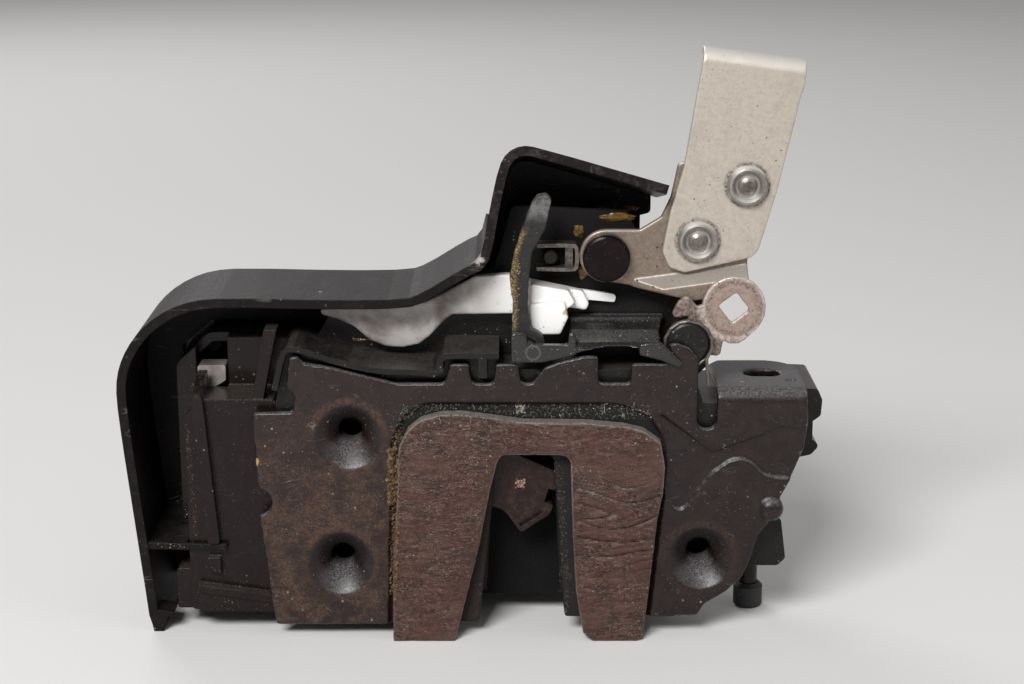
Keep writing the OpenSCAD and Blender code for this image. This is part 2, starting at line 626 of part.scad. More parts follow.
module side_case_shell() {
    difference() {
        union() {
            // Shell beside the face plate
            sheet(case_front, frame_back - case_front + 1) soft(1)
                polygon([[front_l, case_low], [front_l, case_top - 4], [front_l + 3, case_top],
                    [case_r, case_top], [case_r, case_low]]);
            // Shell behind the frame
            sheet(rear_y, lid_y - rear_y) soft(3) polygon(rear_edge);
            // Rail along the front
            sheet(shroud_y - 0.9, case_front - shroud_y + 1.2) soft(0.5)
                polygon([[-67.6, 17.2], [-67.2, 18.6], [-65.6, 18.6], [-65.2, 17.4], [-62.8, -13.2],
                    [-65.2, -13.2]]);
            along_x(-67.2, 1.8) polygon([[shroud_y - 0.9, 15], [shroud_y - 0.9, 17.4], [8, 21.4],
                [12, 21.4], [12, 15]]);
            // Ribs and peg low on the front
            sheet(2.6, 2) polygon([[-65.4, -16.4], [-62.8, -16.4], [-62.8, -20], [-65.2, -19.6]]);
            sheet(1.8, 3) polygon([[-67.6, -23.6], [-51, -26.4], [-51, -24.6], [-67.6, -22.2]]);
            sheet(2.6, 2) polygon([[-67.6, case_low], [-67.6, -22.2], [-51, -24.6], [-51, case_low]]);
            sheet(case_front + 0.8, rear_y - case_front) soft(0.5)
                polygon([[case_l, case_low], [case_l, -19.6], [front_l + 1, -19.6], [front_l + 1, case_low]]);
            // Rib that the shroud's back wall closes against
            sheet(shroud_y + shroud_d + side_gap, case_t) intersection() {
                difference() {
                    offset(delta = rib_h) polygon(rear_edge);
                    offset(delta = -1) polygon(rear_edge);
                }
                translate([-90, 0]) square([66, 60]);
            }
            // Slanting post beside the face plate
            sheet(4.2, 5) polygon([[-56, 14], [-53.8, 14], [-50, 32], [-52.6, 32]]);
        }
        // Room for the motor, the worm and the wheel
        sheet(case_front + case_t, 60) polygon([[front_l + case_t, case_low + case_t],
            [front_l + case_t, case_top - 5],
            [front_l + 4, case_top - case_t], [case_r - case_t, case_top - case_t],
                [case_r - case_t, case_low + case_t]]);
        sheet(rear_y + case_t, 60) soft(1.5) offset(delta = -case_t) polygon(rear_edge);
        // Window for the white slider
        translate([-68.2, slider_y - 0.4, 4]) cube([6.6, slider_t + 0.8, 24]);
    }
}

module side_case() {
    color("#171516") difference() {
        union() {
            side_case_shell();
            rod(wheel_c, wheel_pin_r + 1.6, rear_y + 1, motor_c[1] - hub_half - side_gap - rear_y - 1);
        }
        rod(wheel_c, wheel_pin_r, rear_y - 1, 20);
    }
}

module rear_cover() {
    color("#1b191a") difference() {
        union() {
            sheet(lid_y, lid_t) soft(3) polygon(rear_edge);
            for (x = [-46, -35, -19, -8, 3]) sheet(lid_y + 1, lid_t + 0.6) translate([x, -20])
                square([1.4, 34]);
            rod([motor_c[0], motor_low + 11], 8, lid_y + 0.5, lid_t + 1.5);
        }
        for (at = cover_screws) rod(at, 1.6, lid_y - 1, 10);
    }
}

module cover_screw_set() {
    color("#8f8c88") for (at = cover_screws) difference() {
        union() {
            rod(at, 1.6, lid_y - 4, 4 + lid_t);
            turned(at, lid_y + lid_t) polygon([[0, 0], [3, 0], [3, 1], [2.4, 1.9], [0, 2.2]]);
        }
        for (a = [0, 60, 120]) sheet(lid_y + lid_t + 0.9, 3) translate(at) rotate(a)
            square([2.6, 0.9], center = true);
    }
}

module release_lever() {
    color("#a9a39c") difference() {
        union() {
            sheet(base_y, lever_t) soft(1) union() {
                polygon(base_edge);
                translate(pivot) circle(r = 5.4);
            }
            // Flange turned forward along the lower edge
            hull() {
                sheet(base_y, lever_t) polygon([[22, 40], [33, 39.6], [38.4, 40.8], [45.2, 43.6],
                    [45.2, 44.8], [22, 41.6]]);
                sheet(base_y - 3.1, 0.5) polygon([[28, 39.4], [31, 38.5], [34.4, 37.8], [37, 38.2],
                    [45.2, 41.6], [45.2, 42.6], [28, 40.2]]);
            }
            rod(link_peg, 1.8, base_y + 1, link_y + 2 - base_y - 1);
        }
        rod(pivot, pivot_r + run_gap, 0, 30);
        for (at = rivets) rod(at, 2.2, 0, 30);
    }
}

module lever_arm() {
    color("#b5afa6") difference() {
        union() {
            sheet(arm_y, lever_t) soft(1.4) polygon(arm_edge);
            // Top edge rolled back over the bend
            translate([arm_edge[0][0], arm_y, arm_edge[0][1]]) rotate([0, arm_slope, 0]) along_x(0, arm_top) {
                translate([0, -arm_bend_r]) square([lever_t, arm_bend_r + 0.01]);
                intersection() {
                    translate([arm_bend_r, 0]) difference() {
                        circle(r = arm_bend_r);
                        circle(r = arm_bend_r - lever_t);
                    }
                    square(arm_bend_r);
                }
                translate([arm_bend_r - 0.01, arm_bend_r - lever_t]) square([arm_roll, lever_t]);
            }
        }
        for (at = rivets) rod(at, 2.2, 0, 30);
    }
}

module rivet(at) {
    color("#b9b3aa") turned(at, arm_y - 1.8) polygon([[0, 0.5], [0.9, 0.6], [1.6, 0.95], [2, 1.4],
        [rivet_dish - 0.3, 1.35], [rivet_dish, 0.5],
        [rivet_dish + 0.45, 0], [rivet_r - 0.4, 0.15], [rivet_r, 0.7], [rivet_r, 1.8], [2.2, 1.8],
        [2.2, 1.8 + 2 * lever_t], [3.4, 1.8 + 2 * lever_t], [3.2, 2.4 + 2 * lever_t],
        [0, 2.8 + 2 * lever_t]]);
}

module rivet_upper() {
    rivet(rivets[0]);
}

module rivet_lower() {
    rivet(rivets[1]);
}

module lever_pin() {
    head = base_y - side_gap - 2.7;
    color("#241a1c") turned(pivot, head) polygon([[0, 0], [cap_r - 0.6, 0], [cap_r - 0.15, 0.2], [cap_r, 0.6],
        [cap_r, 2.7], [pivot_r, 2.7], [pivot_r, wall_y + wall_t - head], [0, wall_y + wall_t - head]]);
}

module spring_boss() {
    front = eye_y - 1.15;
    color("#1a1819") turned(boss_c, front) polygon([[0, 0], [boss_r - 0.5, 0], [boss_r, 0.3], [boss_r, 0.9],
        [eye_pin_r, 0.9], [eye_pin_r, 1.4 + lever_t], [4.1, 1.4 + lever_t], [4.1, 8 - front],
        [eye_pin_r, 8 - front], [eye_pin_r, wall_y + wall_t - front], [0, wall_y + wall_t - front]]);
}

module eye_spring() {
    y = eye_y - 1.3;
    color("#8d8a85") wire(concat([[boss_c[0] + 4.2, y, boss_c[1] - 8.4]],
        coil(boss_c, spring_r, y, 2.1 * eye_wire_r, spring_turns, spring_start)), eye_wire_r);
}

module eye_lever() {
    color("#94705f") difference() {
        sheet(eye_y, lever_t) difference() {
            soft(0.8) union() {
                translate(boss_c) circle(r = 4.6);
                polygon(eye_edge);
                translate(eye_c) circle(r = eye_r);
            }
            translate(eye_c) rotate(38) offset(r = 0.5, $fn = 24) square(eye_hole - 1, center = true);
        }
        rod(boss_c, eye_pin_r + run_gap, 0, 20);
    }
}

module lock_lever() {
    color("#dcd8da") {
        sheet(lock_y, lock_t) soft(0.8) fillet(2) polygon(lock_edge);
        sheet(sill_y + sill_t + 0.6, lock_y - sill_y - sill_t - 0.6) soft(0.5)
            polygon([[0.8, 37], [1.6, 30.6], [7.4, 30.6], [9, 34.2], [8.2, 37.6]]);
        sheet(6.4, lock_y - 6.4) soft(0.4) polygon([[1.2, 37], [1.2, 41], [9, 39.6], [10.4, 37], [9.2, 36]]);
    }
}

module lock_link() {
    color("#d2ced0") sheet(lock_y + lock_t, 1) soft(0.4) polygon([[2, 37], [2, 39.6], [12.3, 38.6],
        [18.4, 37.7], [18.9, 37.1],
        [18.6, 36], [12, 36.6]]);
}

module sill_lever() {
    color("#232122") difference() {
        sheet(sill_y, sill_t) soft(0.6) union() {
            polygon(sill_edge);
            translate(sill_c) circle(r = 3.4);
        }
        rod(sill_c, 1.5 + run_gap, 0, 20);
    }
}

module transfer_link() {
    color("#3a383a") sheet(link_y, 1.6) soft(0.6) polygon([[link_x - 3, 41.2], [link_x + 3, 41.2],
        [link_x + 3, 37], [link_x + 1.6, 33],
        [link_x + 1.6, 0], [link_x + 2, -4.6], [link_x - 2.6, -4.6], [link_x - 1.6, 0], [link_x - 1.6, 33],
            [link_x - 3, 37]]);
}

module u_clip() {
    color("#837f7a") {
        sheet(9.4, wall_y - 9.4) polygon(band(eased([[2.6, 48.2], [10.2, 48.3], [10.8, 47.6], [10.8, 43.9],
            [10.2, 43.2], [2.6, 43.4]]), 0.4, -0.4));
        sheet(wall_y - 2, 1) translate([8.4, 43.7]) square([1.6, 4]);
    }
}

module clip_pin() {
    color("#2b2a2b") turned([5.4, 45.7], 9.8) polygon([[0, 0], [1.3, 0], [1.6, 0.3], [1.6, wall_y - 9.8],
        [0, wall_y - 9.8]]);
}

module lock_motor() {
    color("#8a8987") translate([motor_c[0], motor_c[1], motor_low]) {
        cylinder(r = motor_r, h = motor_len);
        translate([0, 0, motor_len]) cylinder(r = 3, h = 1.5);
        translate([0, 0, -0.9]) cylinder(r = 3, h = 0.9);
    }
}

module worm() {
    z = motor_low + motor_len + 1.7;
    color("#c9a24a") translate([motor_c[0], motor_c[1], z]) rotate_extrude()
        polygon(concat([[0, 0], [2.4, 0]],
        [for (i = [0:worm_turns - 1]) let (z0 = worm_pitch * i)
            each [[2.4, z0 + 0.6], [worm_r, z0 + 1.2], [worm_r, z0 + 1.7], [2.4, z0 + 2.3]]],
        [[2.4, worm_len], [shaft_r, worm_len], [shaft_r, worm_len + 2], [0, worm_len + 2]]));
}

module worm_wheel() {
    teeth = 26;
    color("#e2ddd0") difference() {
        union() {
            sheet(motor_c[1] - wheel_t / 2, wheel_t) translate(wheel_c) difference() {
                circle(r = wheel_r);
                for (i = [0:teeth - 1]) rotate(360 * i / teeth)
                    translate([wheel_r + 0.4, 0]) circle(r = 1, $fn = 16);
            }
            rod(wheel_c, 5, motor_c[1] - hub_half, 2 * hub_half);
        }
        rod(wheel_c, wheel_pin_r + run_gap, 0, 50);
    }
}

module wheel_pin() {
    color("#9a9793") rod(wheel_c, wheel_pin_r, rear_y, lid_y - rear_y);
}

module drive_slider() {
    color("#d8d4d6") sheet(slider_y, slider_t) soft(0.5) polygon([[-67.8, 6], [-67.8, 21.8], [-62, 21.8],
        [-62, 18.6], [-64, 17.4], [-64, 6]]);
}

module microswitch() {
    color("#2a2a30") sheet(rear_y + case_t, switch_t) translate(switch_at) square(switch_size);
    color("#c04038") sheet(rear_y + case_t + switch_t / 4, switch_t / 2)
        translate([switch_at[0] + switch_size[0] / 3, switch_at[1] + switch_size[1] - 0.1])
            square(button_size);
}

module connector_socket() {
    color("#1c1a1c") difference() {
        sheet(frame_back, plug_back - frame_back) soft(1) polygon(plug_edge);
        sheet(frame_back + plug_wall, plug_back) soft(1) polygon(plug_hole);
    }
}

module terminals() {
    color("#b8a070") for (x = pin_cols, z = pin_rows)
        translate([x - pin_size[0] / 2, frame_back + plug_wall, z - pin_size[2] / 2]) cube(pin_size);
}

module foot_peg() {
    color("#242224")
        translate([foot_at[0], foot_at[1], floor_z + 3]) cylinder(r = foot_r, h = -14 - floor_z - 3);
}

module foot_tip() {
    color("#1b1a1b") translate([foot_at[0], foot_at[1], floor_z]) rotate_extrude()
        polygon([[0, 0], [foot_r + 0.8, 0],
        [foot_r + 1.2, 0.6], [foot_r + 1.2, 4.6], [foot_r + 0.4, 5.4], [foot_r, 5.4], [foot_r, 3], [0, 3]]);
}

face_plate();
foam_seal();
latch_frame();
lever_guide();
back_plate();
claw();
claw_jacket();
claw_pin();
claw_spring();
pawl();
pawl_pin();
pawl_spring();
mouth_bumper();
shroud();
side_case();
rear_cover();
cover_screw_set();
release_lever();
lever_arm();
rivet_upper();
rivet_lower();
lever_pin();
spring_boss();
eye_spring();
eye_lever();
lock_lever();
lock_link();
sill_lever();
transfer_link();
u_clip();
clip_pin();
lock_motor();
worm();
worm_wheel();
wheel_pin();
drive_slider();
microswitch();
connector_socket();
terminals();
foot_peg();
foot_tip();
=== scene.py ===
import math

import bmesh
import bpy
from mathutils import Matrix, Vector, noise
from mathutils.bvhtree import BVHTree
from mathutils.kdtree import KDTree


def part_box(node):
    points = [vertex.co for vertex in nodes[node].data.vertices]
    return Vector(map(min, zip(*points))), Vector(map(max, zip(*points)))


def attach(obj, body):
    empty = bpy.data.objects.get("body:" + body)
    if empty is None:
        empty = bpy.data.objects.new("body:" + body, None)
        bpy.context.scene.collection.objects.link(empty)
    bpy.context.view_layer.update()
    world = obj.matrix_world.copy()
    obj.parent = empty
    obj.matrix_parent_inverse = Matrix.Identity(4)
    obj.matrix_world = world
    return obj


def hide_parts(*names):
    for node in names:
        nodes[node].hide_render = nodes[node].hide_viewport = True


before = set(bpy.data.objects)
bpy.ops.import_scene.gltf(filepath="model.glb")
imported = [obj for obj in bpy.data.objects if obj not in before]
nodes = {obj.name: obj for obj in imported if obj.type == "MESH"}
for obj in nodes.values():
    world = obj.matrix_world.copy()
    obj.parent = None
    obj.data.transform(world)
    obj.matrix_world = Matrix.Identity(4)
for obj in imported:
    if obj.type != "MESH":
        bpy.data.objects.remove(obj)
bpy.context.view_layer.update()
scene = bpy.context.scene
mm = 0.001
print("frame loaded:", len(nodes), "parts")


# a new object in the scene, round a mesh, lamp or camera
def linked(name, data):
    made = bpy.data.objects.new(name, data)
    scene.collection.objects.link(made)
    return made


viewpoint = {
    "aim": (-2.4, 0.0, 30.6),       # mm, what the lens looks at
    "distance": 400.0,              # mm
    "pitch": 15.0,                  # degrees down
    "lens": 70.3,
}

pitch = math.radians(viewpoint["pitch"])
lookAlong = Vector((0, math.cos(pitch), -math.sin(pitch)))
cameraData = bpy.data.cameras.new("benchCamera")
cameraData.lens = viewpoint["lens"]
cameraData.sensor_width = 36
cameraData.clip_start = 0.01
camera = linked("benchCamera", cameraData)
camera.location = Vector(viewpoint["aim"]) * mm - lookAlong * viewpoint["distance"] * mm
camera.rotation_euler = (math.pi / 2 - pitch, 0, 0)
scene.camera = camera
scene.view_settings.view_transform = "Standard"


def treeNode(tree, kind, inputs=None, **settings):
    made = tree.nodes.new(kind)
    for key, value in settings.items():
        setattr(made, key, value)
    for key, value in (inputs or {}).items():
        if isinstance(value, bpy.types.NodeSocket):
            tree.links.new(value, made.inputs[key])
        else:
            made.inputs[key].default_value = value
    return made


def shaderNode(tree, kind, inputs=None, **settings):
    return treeNode(tree, "ShaderNode" + kind, inputs, **settings)


def emptyMaterial(name):
    made = bpy.data.materials.new(name)
    made.use_nodes = True
    made.node_tree.nodes.clear()
    return made, made.node_tree


studio = {
    "floorHeight": -33.0,           # mm
    "floorSize": 9.0,               # m
    "floorColour": (0.76, 0.75, 0.74, 1),
    "background": (0.86, 0.86, 0.86, 1),
    "ambient": 0.22,                # light from all round
    "mirrored": 0.30,               # how bright the surroundings are in a gloss
    "keyPower": 21.0,               # W, soft box above the front
    "keySize": (0.6, 0.38),         # m
    "keyPlace": (-0.42, -1.0, 0.9),
    "fillPower": 0.7,
    "fillSize": (0.4, 0.6),
    "fillPlace": (0.75, -0.35, 0.35),
    "rimPower": 4.2,
    "rimSize": (0.6, 0.3),
    "rimPlace": (-0.5, 1.05, 0.75),
    "lampAim": (0, 0, 0.02),        # m
}


def buildStudio(values):
    half = values["floorSize"] / 2
    height = values["floorHeight"] * mm
    floorMesh = bpy.data.meshes.new("floor")
    floorMesh.from_pydata([(-half, -half, height), (half, -half, height), (half, half, height),
                           (-half, half, height)],
                          [], [(0, 1, 2, 3)])
    floor = linked("floor", floorMesh)
    paper, tree = emptyMaterial("paleFloor")
    where = shaderNode(tree, "TexCoord").outputs["Object"]
    grain = shaderNode(tree, "TexNoise", {"Vector": where, "Scale": 900.0, "Detail": 3.0})
    bump = shaderNode(tree, "Bump", {"Height": grain.outputs["Fac"], "Strength": 0.2, "Distance": 0.0002})
    matt = shaderNode(tree, "BsdfPrincipled",
                      {"Base Color": values["floorColour"], "Roughness": 0.9, "Specular IOR Level": 0.15,
                       "Normal": bump.outputs[0]})
    shaderNode(tree, "OutputMaterial", {"Surface": matt.outputs[0]})
    floorMesh.materials.append(paper)

    world = bpy.data.worlds.new("studio")
    world.use_nodes = True
    scene.world = world
    tree = world.node_tree
    tree.nodes.clear()
    path = shaderNode(tree, "LightPath")
    seen = shaderNode(tree, "Math",
                      {0: path.outputs["Is Camera Ray"], 1: path.outputs["Is Transmission Ray"]},
                      operation="MAXIMUM")
    glossy = shaderNode(tree, "Math", {0: path.outputs["Is Glossy Ray"], 1: values["mirrored"]},
                        operation="MULTIPLY")
    share = shaderNode(tree, "Math", {0: seen.outputs[0], 1: glossy.outputs[0]}, operation="MAXIMUM")
    around = shaderNode(tree, "Background", {"Color": (1, 0.99, 0.98, 1), "Strength": values["ambient"]})
    behind = shaderNode(tree, "Background", {"Color": values["background"], "Strength": 1.0})
    both = shaderNode(tree, "MixShader", {0: share.outputs[0], 1: around.outputs[0], 2: behind.outputs[0]})
    shaderNode(tree, "OutputWorld", {"Surface": both.outputs[0]})

    for name in ("key", "fill", "rim"):
        lampData = bpy.data.lights.new(name + "Box", "AREA")
        lampData.shape = "RECTANGLE"
        lampData.size, lampData.size_y = values[name + "Size"]
        lampData.energy = values[name + "Power"]
        lamp = linked(name + "Box", lampData)
        lamp.location = values[name + "Place"]
        aim = Vector(values["lampAim"]) - Vector(values[name + "Place"])
        lamp.rotation_euler = aim.to_track_quat("-Z", "Y").to_euler()


buildStudio(studio)
print("studio ready")


# patterns read Object coordinates in millimetres
def inMillimetres(tree, stretch=(1, 1, 1)):
    place = shaderNode(tree, "TexCoord").outputs["Object"]
    scaled = tuple(1000.0 * part for part in stretch)
    return shaderNode(tree, "VectorMath", {0: place, 1: scaled}, operation="MULTIPLY").outputs[0]


def calc(tree, kind, a, b=0.0, clamped=False):
    return shaderNode(tree, "Math", {0: a, 1: b}, operation=kind, use_clamp=clamped).outputs[0]


# times, plus and less work on shares, and stay from 0 to 1
def times(tree, first, *others):
    for other in others:
        first = calc(tree, "MULTIPLY", first, other, True)
    return first


def plus(tree, a, b):
    return calc(tree, "ADD", a, b, True)


def less(tree, a, b):
    return calc(tree, "SUBTRACT", a, b, True)


def larger(tree, a, b):
    return calc(tree, "MAXIMUM", a, b)


# how far a value is from a line
def offLine(tree, value, line):
    return calc(tree, "ABSOLUTE", calc(tree, "SUBTRACT", value, line))


# distance as seen from the front, for rings round holes, heads and marks
def offCentre(tree, where, x, z):
    level = shaderNode(tree, "VectorMath", {0: where, 1: (1, 0, 1)}, operation="MULTIPLY").outputs[0]
    return shaderNode(tree, "VectorMath", {0: level, 1: (x, 0, z)}, operation="DISTANCE").outputs["Value"]


def cloud(tree, where, size, detail=3.0, rough=0.55, twist=0.0):
    return shaderNode(tree, "TexNoise",
                      {"Vector": where, "Scale": 1.0 / size, "Detail": detail, "Roughness": rough,
                       "Distortion": twist}).outputs["Fac"]


def fade(tree, value, start, end, low=0.0, high=1.0):
    return shaderNode(tree, "MapRange", {0: value, 1: start, 2: end, 3: low, 4: high},
                      interpolation_type="SMOOTHSTEP").outputs[0]


def tint(tree, amount, under, over):
    return shaderNode(tree, "Mix", {0: amount, 6: under, 7: over}, data_type="RGBA").outputs[2]


# sharp dots of uneven size; amount is the share of cells that hold one
def specks(tree, where, size, amount):
    cells = shaderNode(tree, "TexVoronoi", {"Vector": where, "Scale": 1.0 / size, "Randomness": 1.0})
    parts = shaderNode(tree, "SeparateColor", {0: cells.outputs["Color"]})
    reach = fade(tree, parts.outputs[1], 0.0, 1.0, 0.12, 0.34)
    near = calc(tree, "SUBTRACT", reach, cells.outputs["Distance"])
    dot = fade(tree, near, -0.02, 0.06)
    return times(tree, dot, fade(tree, parts.outputs[0], 1 - amount - 0.01, 1 - amount + 0.01))


# thin wandering lines, as creases and scratches run
def threads(tree, where, size, width, detail=3.0, twist=0.4):
    wave = cloud(tree, where, size, detail, 0.6, twist)
    return fade(tree, offLine(tree, wave, 0.5), width, width * 0.15)


# pale specks and lint that gather in drifts
def dustSpecks(tree, where, amount):
    drift = fade(tree, cloud(tree, where, 6.0, 4.0, 0.6), 0.36, 0.66, 0.15, 1.0)
    fine = times(tree, specks(tree, where, 0.33, 0.12 * amount), drift)
    middle = times(tree, specks(tree, where, 0.75, 0.05 * amount), drift)
    lint = times(tree, threads(tree, where, 2.3, 0.004, 1.0, 1.5),
                 fade(tree, cloud(tree, where, 1.7, 2.0), 0.66, 0.7))
    both = larger(tree, times(tree, fine, 0.6), middle)
    return larger(tree, both, times(tree, lint, 0.6 * amount))


# a ragged round stain
def spot(tree, where, centre, radius, ragged=0.35):
    gap = shaderNode(tree, "VectorMath", {0: where, 1: centre}, operation="DISTANCE").outputs["Value"]
    edge = less(tree, fade(tree, gap, radius * 1.6, 0.0),
                fade(tree, cloud(tree, where, radius * 0.6), 0.35, 0.65, 0.0, ragged))
    return fade(tree, edge, 0.25, 0.5)


def facing(tree, axis):
    turned = shaderNode(tree, "NewGeometry").outputs["Normal"]
    return shaderNode(tree, "VectorMath", {0: turned, 1: axis}, operation="DOT_PRODUCT").outputs["Value"]


def axisOf(tree, where, which):
    return shaderNode(tree, "SeparateXYZ", {0: where}).outputs[which]


# paint(tree, where) gives colour, roughness and height; edge rounds corners, grain is the relief, both in mm
def finishSurface(name, paint, edge, grain, fixed):
    made, tree = emptyMaterial(name)
    where = inMillimetres(tree)
    colour, rough, height = paint(tree, where)
    inputs = {"Base Color": colour, "Roughness": rough, **fixed}
    bumpInputs = {"Height": height, "Strength": 1.0, "Distance": grain * mm}
    if edge:
        bumpInputs["Normal"] = shaderNode(tree, "Bevel", {"Radius": edge * mm}, samples=4).outputs[0]
    inputs["Normal"] = shaderNode(tree, "Bump", bumpInputs).outputs[0]
    shader = shaderNode(tree, "BsdfPrincipled", inputs)
    shaderNode(tree, "OutputMaterial", {"Surface": shader.outputs[0]})
    return made


# a CAD part keeps its mesh and takes a finish
def dress(part, material):
    if not part.material_slots:
        part.data.materials.append(material)
    for slot in part.material_slots:
        slot.material = material


plateFinish = {
    "coat": (0.0085, 0.0044, 0.0042, 1),
    "brownDust": (0.080, 0.040, 0.025, 1),
    "tanDust": (0.175, 0.104, 0.064, 1),
    "paleDustAndHighlight": (0.17, 0.16, 0.165, 1),
    "film": (0.026, 0.0135, 0.0125, 1),
    "dustRange": (14.0, -36.0),     # mm, dust grows from the first x to the second
    "rust": (0.40, 0.23, 0.08, 1),
    "rustDots": ((-54.6, 0.0, 5.3, 1.1), (41.5, 10.0, 21.5, 0.7), (44.6, 6.0, 20.6, 0.5),
                 (37.4, 0.6, 9.0, 0.35)),
    "specks": (0.36, 0.32, 0.27, 1),
    "scratch": (0.26, 0.24, 0.23, 1),
    # colour of the painted shade in the sunk step round the foam and in the top of each dimple
    "gap": (0.0035, 0.003, 0.003, 1),
    "gapCentre": 0.4,               # mm, x of the sunk step round the foam, shaded dark
    "gapReach": (28.2, 27.2),       # mm to either side
    "gapDepth": (0.55, 0.85),
    "cups": ((-35.5, 10.7), (-37.6, -16.5), (36.4, -15.4)),    # mm, x and z of the screw dimples
    "cupRadius": 7.0,
}


def paintPlate(tree, where):
    v = plateFinish
    x, y, z = (axisOf(tree, where, i) for i in range(3))
    grains = fade(tree, cloud(tree, where, 0.36, 3.0, 0.8), 0.38, 0.64)
    flat = fade(tree, facing(tree, (0, -1, 0)), 0.88, 0.985)
    spread = times(tree, fade(tree, x, *v["dustRange"]), fade(tree, z, 23.0, -6.0, 0.12, 1.0))
    drift = times(tree, fade(tree, cloud(tree, where, 9.0, 6.0, 0.62, 0.4), 0.36, 0.6, 0.12, 1.0),
                  fade(tree, cloud(tree, inMillimetres(tree, (0.6, 1, 1)), 1.5, 5.0, 0.75), 0.36, 0.62, 0.25,
                       1.0))
    dust = times(tree, spread, drift, times(tree, flat, fade(tree, grains, 0.0, 1.0, 0.4, 1.0)))
    thin = times(tree, fade(tree, cloud(tree, where, 3.2, 6.0, 0.7, 0.3), 0.36, 0.7, 0.05, 0.75),
                 fade(tree, grains, 0.0, 1.0, 0.5, 1.0))
    colour = tint(tree, thin, v["coat"], v["film"])
    colour = tint(tree, times(tree, dust, 0.95), colour, v["brownDust"])
    tan = times(tree, dust, fade(tree, cloud(tree, where, 0.55, 5.0, 0.85), 0.5, 0.66))
    colour = tint(tree, tan, colour, v["tanDust"])
    for cx, cz in v["cups"]:
        away = offCentre(tree, where, cx, cz)
        edge = offLine(tree, away, v["cupRadius"] + 0.3)
        ring = times(tree, fade(tree, edge, 1.5, 0.2), fade(tree, z, cz - 1.0, cz + 5.0, 0.25, 1.0))
        ring = times(tree, ring, fade(tree, cloud(tree, where, 1.1, 5.0, 0.75), 0.4, 0.58, 0.1, 0.9))
        colour = tint(tree, times(tree, ring, fade(tree, x, 20.0, -10.0, 0.35, 0.9)), colour, v["brownDust"])
        # painted shadow of the bore: the upper half inside each dimple is darkened with the gap colour
        greaseAndShade = times(tree, fade(tree, away, v["cupRadius"], v["cupRadius"] - 3.0),
                       fade(tree, z, cz, cz + 4.0))
        colour = tint(tree, times(tree, greaseAndShade, 0.75), colour, v["gap"])
    # pale tint on faces turned up: settled dust, and a painted highlight on the lower dimple walls and top
    # rims
    settledDustAndHighlight = times(tree, fade(tree, facing(tree, (0, 0, 1)), 0.22, 0.85),
                    fade(tree, grains, 0.1, 0.9, 0.15, 0.75))
    colour = tint(tree, settledDustAndHighlight, colour, v["paleDustAndHighlight"])
    colour = tint(tree, times(tree, dustSpecks(tree, where, 0.8), 0.7), colour, v["specks"])
    scratch = times(tree, threads(tree, inMillimetres(tree, (0.35, 1, 1.1)), 5.0, 0.005, 2.0, 0.8),
                    fade(tree, cloud(tree, where, 5.0, 2.0), 0.55, 0.66))
    colour = tint(tree, times(tree, scratch, 0.4), colour, v["scratch"])
    for cx, cy, cz, radius in v["rustDots"]:
        colour = tint(tree, spot(tree, where, (cx, cy, cz), radius), colour, v["rust"])
    # painted shadow: the sunk step round the foam is darkened, most towards its top
    sunk = times(tree, fade(tree, y, *v["gapDepth"]),
                 fade(tree, offLine(tree, x, v["gapCentre"]), *v["gapReach"]))
    colour = tint(tree, times(tree, sunk, fade(tree, z, -4.0, 9.0, 0.55, 0.97)), colour, v["gap"])
    peel = cloud(tree, where, 0.4, 3.0, 0.6)
    rough = plus(tree, fade(tree, peel, 0.3, 0.7, 0.21, 0.38), times(tree, larger(tree, dust, settledDustAndHighlight), 0.4))
    rough = plus(tree, rough, times(tree, sunk, 0.4))
    height = plus(tree, times(tree, peel, 0.5), times(tree, dust, grains, 0.5))
    return colour, rough, height


mouldRing = (1.8, 28.5, 1.4)        # mm, x, z and radius of the mark that both mouldings show

frameFinish = {
    "plastic": (0.0070, 0.0052, 0.0054, 1),
    "dust": (0.30, 0.27, 0.23, 1),
    "filmShare": 0.12,
    "ledgeDustAndHighlight": 0.15,                  # share of pale tint on level ledges, dust and a painted highlight
    "mouldMark": mouldRing,
    "roughness": (0.24, 0.42),
    "shadeFrom": 8.0,               # mm back, where the mouth's lining takes a painted shade
    "shade": (0.0018, 0.0013, 0.0013, 1),
}


